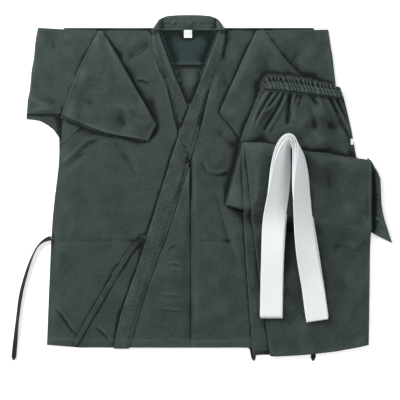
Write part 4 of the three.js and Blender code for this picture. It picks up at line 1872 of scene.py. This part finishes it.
@dataclass
class Waistband:
    """The casing gathered by an elastic strip."""

    gather: float = 7.4
    depth: float = 3.3
    rows: tuple[float, float] = (0.30, 0.68)
    casing_let_out: float = 1.6
    elastic_let_out: float = 1.1

    def build(self, room: Workroom) -> None:
        """Lays the casing's back, the elastic and the casing's front.

        Args:
            room: the workroom.
        """
        band = Patch.of_node("waistband_front", ((0, 0.40), (1, 0), (0.966, 0.506), (0, 0.61)), passes=4)
        strip = Patch.of_node("waist_elastic", ((0, 0.5), (1, 0), (0.986, 0.46), (0.02, 1)), passes=1)
        span = band.width()

        def gathered(xy: Grid, u: Grid, v: Grid) -> Grid:
            """Close ruffles that stand highest at both edges and lie flat under the rows of stitches."""
            x = u * span
            phase = x * 2 * math.pi / self.gather + 1.3 * np.sin(x * 0.21) + 0.9 * np.sin(x * 0.083 + v * 1.5)
            rows = sum(np.exp(-((v - at) / 0.05) ** 2) for at in self.rows)
            ruffle = (0.5 + 0.5 * np.sin(phase + 1.6 * smooth_step((v - 0.42) / 0.2))) ** 1.1
            return self.depth * ruffle * (1 - 0.5 * np.clip(rows, 0, 1)) - 1.1 * rows

        layers = (("waistband_back_cloth", "waistband_back", band, DRILL, 0.9, gathered),
                  ("waist_elastic_strip", "waist_elastic", strip, ELASTIC, 0.7, None),
                  ("waistband_front_cloth", "waistband_front", band, DRILL, 0.9, gathered))
        for name, node, patch, finish, thickness, extra in layers:
            drape = Drape(lift=0.15, reach=2, spread=3, waves=0.25, wave_size=16, seed=81)
            piece = room.lay_ply(name, patch, drape, thickness, 0.9, edge=0.45, extra=extra,
                                 sewn=(2.2, 0, 0, 0))
            room.dress(piece, finish, "trousers", (node,))
            width = patch.width() * MM * (self.casing_let_out if extra else self.elastic_let_out)
            patch.length() * MM
        for share in self.rows:
            room.stitch("trousers", band.line((0.02, 0.98), (share, share), 200), 0.1)


@dataclass
class SideLabel:
    """The plain tag in the trousers' side seam, 5.1 mm wide and made as one ply.

    A declared sheet is at least 10 mm wide, so this one is declared at twice its width, with an area
    set by hand to a little more than that of its one ply.

    Attributes:
        width: twice the tag's width, in metres; not used.
        length: its length in metres; not used.
        area_share: a share of width times length that gives a little more than the area of its one ply; not
            used.
    """

    width: float = 0.0102
    length: float = 0.011
    area_share: float = 0.55

    def build(self, room: Workroom) -> None:
        """Lays the tag.

        Args:
            room: the workroom.
        """
        tag = Patch.of_node("trousers_side_label", ((0, 0), (1, 0), (1, 1), (0, 1)), passes=0)
        drape = Drape(lift=0.15, reach=2, spread=2, waves=0.05, wave_size=12, seed=83)
        piece = room.lay_ply("side_tag_satin", tag, drape, 0.4, 0.7, edge=0.3)
        room.dress(piece, SATIN, "trousers_label", ("trousers_side_label",))


# ---- belt ----------------------------------------------------------------------------------------
@dataclass
class Belt:
    """The belt, folded into a hank of plies that stands on edge round its bend.

    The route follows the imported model's: the strap's upper edge and lower edge at each place.
    """

    plies: int = 4
    ply: float = 1.75
    spread: float = 1.45
    rows: int = 8
    strap: float = 40.0

    ROUTE = (
        ((108, -238, 14.1), (148, -238, 14.1)),
        ((109, -175, 17.4), (149, -175, 17.4)),
        ((110, -112, 24), (150, -112, 24)),
        ((112, -59, 28), (153.5, -59, 23.3)),
        ((120, -4, 46), (159.2, -4, 23.3)),
        ((128, 42, 54), (160.0, 40, 23)),
        ((140, 77, 61), (158.5, 66, 23)),
        ((157, 95, 62.5), (161.5, 79, 23)),
        ((168, 77, 62), (180, 66, 23)),
        ((167.5, 33, 57), (192, 33, 23)),
        ((167.5, -4, 53), (199, -4, 23.3)),
        ((172, -59, 43), (207, -59, 23.3)),
        ((176.5, -115, 34), (215.5, -115, 23.6)),
        ((183, -170, 22), (223, -170, 18.2)),
        ((193, -245, 14.1), (233, -239, 14.1)),
    )

    def edges(self, count: int) -> tuple[Grid, Grid]:
        """The strap's two edges as smooth lines.

        Args:
            count: how many points on each.

        Returns:
            The upper edge and the lower edge.
        """
        stations = np.array(self.ROUTE, float)
        lines = []
        for edge in (0, 1):
            line = resample(catmull_rom(stations[:, edge], 16), count)
            lines.append(soften_line(line, 12))
        return lines[0], lines[1]

    def build(self, room: Workroom) -> None:
        """Lays the plies side by side round the bend and on each other along the legs.

        Args:
            room: the workroom.
        """
        count = 340
        upper, lower = self.edges(count)
        along = np.linspace(0.0, 1.0, count)
        across = upper - lower
        ahead = np.gradient(upper + lower, axis=0)
        outward = np.cross(ahead, across)
        outward /= np.linalg.norm(outward, axis=1)[:, None]
        pitch = (self.ply + 0.35) * (1 + (self.spread - 1) * np.sin(math.pi * along) ** 8)
        length = along_line((upper + lower) / 2)[-1]
        stitches = []
        for number in range(self.plies):
            place = (number - (self.plies - 1) / 2) * pitch
            fan = -0.09 * bump(along, 0.12, 0.46) + 0.17 * bump(along, 0.52, 0.93)
            sideways = (math.sin(number * 2.1 + 0.6) / self.strap + fan * (3 - number) / 3)[:, None]
            us = shares(self.strap, 1.25, 0.9)
            ends = 1.8 * math.cos(number * 1.7)
            base = lower + across * sideways + outward * place[:, None]
            base = base + ahead / np.linalg.norm(ahead, axis=1)[:, None] * ends
            spine = base[:, None] + across[:, None] * us[None, :, None]
            wave = 0.25 * np.sin(along * 31 + number)[:, None] * np.sin(math.pi * us)[None]
            spine = spine + outward[:, None] * wave[..., None]
            rim = np.minimum.reduce([
                np.broadcast_to((np.minimum(us, 1 - us) * self.strap)[None], spine.shape[:2]),
                np.broadcast_to((np.minimum(along, 1 - along) * length)[:, None], spine.shape[:2])])
            groove = sum(np.exp(-((us - (row + 0.5) / self.rows) * self.strap / 0.55) ** 2)
                         for row in range(self.rows))
            depth = self.ply / 2 * rounded(rim, 0.9) * (1 - 0.16 * groove[None])
            cloth = np.stack(np.meshgrid(us * self.strap, along * length), axis=-1)
            shift = depth[..., None] * outward[:, None]
            # Paler at each ply's rim: partly abrasion, partly painted highlight on the rounded edges.
            wear_and_highlight = 0.4 * np.exp(-rim / 1.2)
            piece = shell(f"belt_ply_{number + 1}", spine + shift, spine - shift, cloth, wear_and_highlight, True)
            fix_normals(piece)
            nodes = ("belt",) if number == 0 else ()
            room.dress(piece, COTTON, "belt", nodes)
            # The belt's footprint goes on the heap at most 0.5 mm above what lies under it, only so that the
            # second shade painting lays a thin painted shadow round the belt.
            shadow = spine.copy()
            laid = room.heap.at(room.heap.top, spine[..., 0], spine[..., 1])
            shadow[..., 2] = np.minimum(shadow[..., 2], laid + 0.5)
            room.heap.lay(shadow)
            outer = {0: -1, self.plies - 1: 1}.get(number)
            for row in range(self.rows if outer else 0):
                middle = base + across * ((row + 0.5) / self.rows)
                stitches.append((middle + outer * outward * (self.ply / 2 - 0.12))[4:-4])
        piece = room.machine.sew("belt_stitches", stitches, WHITE_THREAD, 4.0, (3.1, 0.5, 0.35))
        room.dress(piece, WHITE_THREAD, "belt", ())


def bump(share: Grid, start: float, end: float) -> Grid:
    """A smooth hump that is 0 outside two shares of a length."""
    held = np.clip((share - start) / (end - start), 0.0, 1.0)
    return np.sin(math.pi * held) ** 1.2


def catmull_rom(points: Grid, steps: int) -> Grid:
    """A smooth line through points.

    Args:
        points: the places to pass.
        steps: how many points to make between two of them.

    Returns:
        The line's points.
    """
    padded = np.concatenate([[2 * points[0] - points[1]], points, [2 * points[-1] - points[-2]]])
    line = []
    for index in range(1, len(padded) - 2):
        a, b, c, d = padded[index - 1:index + 3]
        for step in range(steps):
            t = step / steps
            line.append(0.5 * (2 * b + (c - a) * t + (2 * a - 5 * b + 4 * c - d) * t * t
                               + (3 * b - a - 3 * c + d) * t**3))
    return np.array(line + [points[-1]])


# ---- studio --------------------------------------------------------------------------------------
@dataclass
class Studio:
    """A pale floor, soft light and a camera straight above."""

    view_width: float = 0.740
    distance: float = 2.3
    sensor: float = 36.0
    centre: tuple[float, float] = (-0.0028, -0.0222)
    floor_glow: float = 0.45
    sky: float = 0.22

    LIGHTS = (("key", (-1.45, 1.25, 1.25), 1.2, 64.0), ("fill", (1.6, -0.2, 1.5), 1.3, 14.0),
              ("low", (-0.2, -1.6, 1.2), 1.2, 6.0))

    def build(self) -> None:
        """Makes the floor, the lights and the camera."""
        scene = bpy.context.scene
        bpy.ops.mesh.primitive_plane_add(size=8.0)
        floor = bpy.context.object
        floor.name = "floor"
        paint = bpy.data.materials.new("pale_floor")
        paint.use_nodes = True
        surface = paint.node_tree.nodes["Principled BSDF"]
        surface.inputs["Base Color"].default_value = (0.92, 0.92, 0.92, 1.0)
        surface.inputs["Roughness"].default_value = 0.9
        surface.inputs["Specular IOR Level"].default_value = 0.1
        surface.inputs["Emission Color"].default_value = (1.0, 1.0, 1.0, 1.0)
        surface.inputs["Emission Strength"].default_value = self.floor_glow
        floor.data.materials.append(paint)
        camera_data = bpy.data.cameras.new("overhead")
        camera_data.sensor_width = self.sensor
        camera_data.lens = self.sensor * self.distance / self.view_width
        camera = bpy.data.objects.new("overhead", camera_data)
        camera.location = (*self.centre, self.distance)
        scene.collection.objects.link(camera)
        scene.camera = camera
        for settings in self.LIGHTS:
            self.light(*settings)
        world = bpy.data.worlds.new("studio")
        world.use_nodes = True
        world.node_tree.nodes["Background"].inputs["Color"].default_value = (1.0, 1.0, 1.0, 1.0)
        world.node_tree.nodes["Background"].inputs["Strength"].default_value = self.sky
        scene.world = world
        scene.view_settings.view_transform = "Standard"

    def light(self, name: str, place: tuple[float, float, float], size: float, power: float) -> None:
        """Adds one soft square light that looks at the middle of the floor.

        Args:
            name: its name.
            place: where it is, in metres.
            size: its side.
            power: its power.
        """
        data = bpy.data.lights.new(name, "AREA")
        data.shape = "SQUARE"
        data.size = size
        data.energy = power
        lamp = bpy.data.objects.new(name, data)
        lamp.location = place
        direction = -lamp.location
        lamp.rotation_euler = direction.to_track_quat("-Z", "Y").to_euler()
        bpy.context.scene.collection.objects.link(lamp)


RIGHT_FRONT_FOLDS = (
    Fold(((-268, -96), (-200, -98), (-118, -97)), -0.4, 3.0, 4.0, 0.1),
    Fold(((-272, -216), (-254, -240), (-232, -272)), 0.9, 3.5, 3.5, 0.2, 0.9),
    Fold(((-262, -228), (-246, -252), (-228, -276)), -0.5, 3, 3, 0.2),
    Fold(((-196, -254), (-180, -268), (-164, -287)), 0.8, 3.5, 3.5, 0.2, 0.9),
    Fold(((-264, 42), (-242, 54), (-226, 72), (-208, 88), (-186, 92)), 0.75, 5, 5, 0.15, 0.6),
    Fold(((-262, 30), (-244, 40), (-228, 56), (-214, 66)), -0.6, 5, 5, 0.2),
    Fold(((-170, 90), (-148, 70), (-132, 43), (-120, 8)), -0.8, 8, 12, 0.2),
    Fold(((-146, 82), (-128, 56), (-112, 20)), 0.5, 10, 8, 0.25),
    Fold(((-184, 279), (-162, 255), (-141, 237)), -0.8, 7, 9, 0.2),
    Fold(((-141, 237), (-116, 252), (-92, 272)), -0.7, 7, 8, 0.25),
    Fold(((-158, 280), (-136, 262), (-112, 282)), 0.5, 9, 9, 0.25),
    Fold(((-120, 201), (-108, 199), (-95, 194)), 0.8, 2.8, 2.8, 0.2, 1.0),
    Fold(((-95, 174), (-82, 128), (-94, 84)), -0.7, 10, 9, 0.2),
    Fold(((-232, 10), (-205, -30), (-196, -80)), -0.45, 14, 18, 0.25),
    Fold(((-256, -20), (-236, -60), (-246, -92)), 0.5, 10, 10, 0.3),
    Fold(((-262, -110), (-238, -150), (-244, -196)), -0.5, 9, 12, 0.3),
    Fold(((-230, -122), (-200, -170), (-186, -230)), 0.45, 16, 14, 0.3),
    Fold(((-160, -110), (-148, -150), (-170, -190)), 0.4, 12, 12, 0.3),
)
LEFT_FRONT_FOLDS = (
    Fold(((-5, -97), (24, -98), (58, -97)), -0.4, 3, 4, 0.1),
    Fold(((20, -10), (43, -78), (62, -137), (70, -174)), -0.9, 5, 13, 0.12),
    Fold(((30, 10), (52, -50), (66, -100)), 0.5, 9, 7, 0.2),
    Fold(((4, 50), (8, 34), (20, 26), (36, 26), (50, 33)), 0.7, 4, 5, 0.15, 0.9),
    Fold(((10, -150), (36, -190), (58, -250)), 0.5, 14, 14, 0.25),
    Fold(((40, 62), (30, 44), (12, 56)), 0.5, 7, 7, 0.3),
    Fold(((30, 262), (44, 240), (40, 205), (48, 180)), -0.6, 7, 10, 0.2),
    Fold(((52, 276), (66, 258), (58, 232)), 0.6, 8, 8, 0.25),
    Fold(((18, 222), (28, 190), (20, 150)), 0.4, 9, 9, 0.25),
    Fold(((26, 110), (46, 86), (66, 72)), -0.7, 9, 9, 0.25),
    Fold(((-10, 120), (-2, 90), (-12, 60)), -0.35, 5, 6, 0.3),
)
LEFT_OVERLAP_FOLDS = tuple(
    Fold(((start, y + 1), (start + 16, y + 2 * turn), (end, y - 3)), height, 3.0, 3.6, 0.35, 0.8)
    for start, end, y, turn, height in (
        (-66, -30, -141, 1, 0.62), (-62, -34, -150, -1, 0.35), (-74, -42, -186, 1, 0.3),
        (-82, -28, -196, -1, 0.5), (-86, -50, -214, 1, 0.3), (-80, -30, -226, 1, 0.5),
        (-90, -60, -252, -1, 0.3))
) + (Fold(((-66, -120), (-58, -108), (-42, -102)), 0.55, 3.2, 3.6, 0.3, 0.8),
     Fold(((-70, -262), (-62, -280), (-40, -284)), 0.4, 3.2, 3.2, 0.3, 0.8),
     Fold(((-52, -60), (-44, -30), (-40, 10)), 0.4, 5, 5, 0.25))
LEFT_LAPEL_FOLDS = (Fold(((30, 306), (12, 250), (-10, 186)), 2.0, 13, 13, 0.3),)
RIGHT_LAPEL_FOLDS = (Fold(((-77, 306), (-61, 250), (-40, 190)), 2.0, 13, 13, 0.3),)


def main() -> None:
    """Lays the uniform piece by piece, from the floor up."""
    logging.basicConfig(level=logging.INFO, format="%(name)s: %(message)s")
    Studio().build()
    low, high = (np.array(corner) / MM for corner in CAD_BOX)
    room = Workroom(Heap(low, high), SewingMachine())
    back = JacketBack()
    back.build(room)
    for word, place, start, end in (("left", "side", ((0.77, 1), (1, 1)), ((0.35, 0), (0, 0))),
                                    ("right", "front", ((0, 1), (0.2, 1)), ((1, 0), (0.8, 0)))):
        Tie(f"inner_{word}_tie", f"inner_{word}_{place}_tie", "jacket", start, end).build(room)
    JacketFront(WearerSide.RIGHT, RIGHT_FRONT_FOLDS, (), RIGHT_LAPEL_FOLDS).build(room)
    JacketFront(WearerSide.LEFT, LEFT_FRONT_FOLDS, LEFT_OVERLAP_FOLDS, LEFT_LAPEL_FOLDS).build(room)
    back.build_collar(room)
    back.build_label(room)
    Tie("right_tie", "right_side_tie", "side_tie", ((0.87, 1), (0.87, 0.955)), ((0.125, 0), (0, 0)),
        ((0.0, 0.4), (0.08, 1.3), (0.16, 1.25), (0.3, 0.95), (0.5, 0.75), (0.7, 0.9), (0.85, 0.5),
         (1.0, 0.3)), worn=1.4, tuck=6.0).build(room)
    RightSleeve().build(room)
    Tie("front_tie", "left_front_tie", "front_tie", ((0.93, 1), (0.93, 0.95)),
        ((0.06, 0), (0, 0.02))).build(room)
    LeftSleeve().build(room)
    Trousers().build(room)
    Waistband().build(room)
    SideLabel().build(room)
    # Paints shade and crest highlight on everything laid so far, then, after the belt, a capped painted
    # shadow round it.
    room.mark_hollows()
    Belt().build(room)
    room.mark_hollows()
    for body, rows in room.seams.items():
        stitches = room.machine.sew(f"{body}_stitches", rows, THREAD)
        room.dress(stitches, THREAD, body, ())


if __name__ == "__main__":
    main()
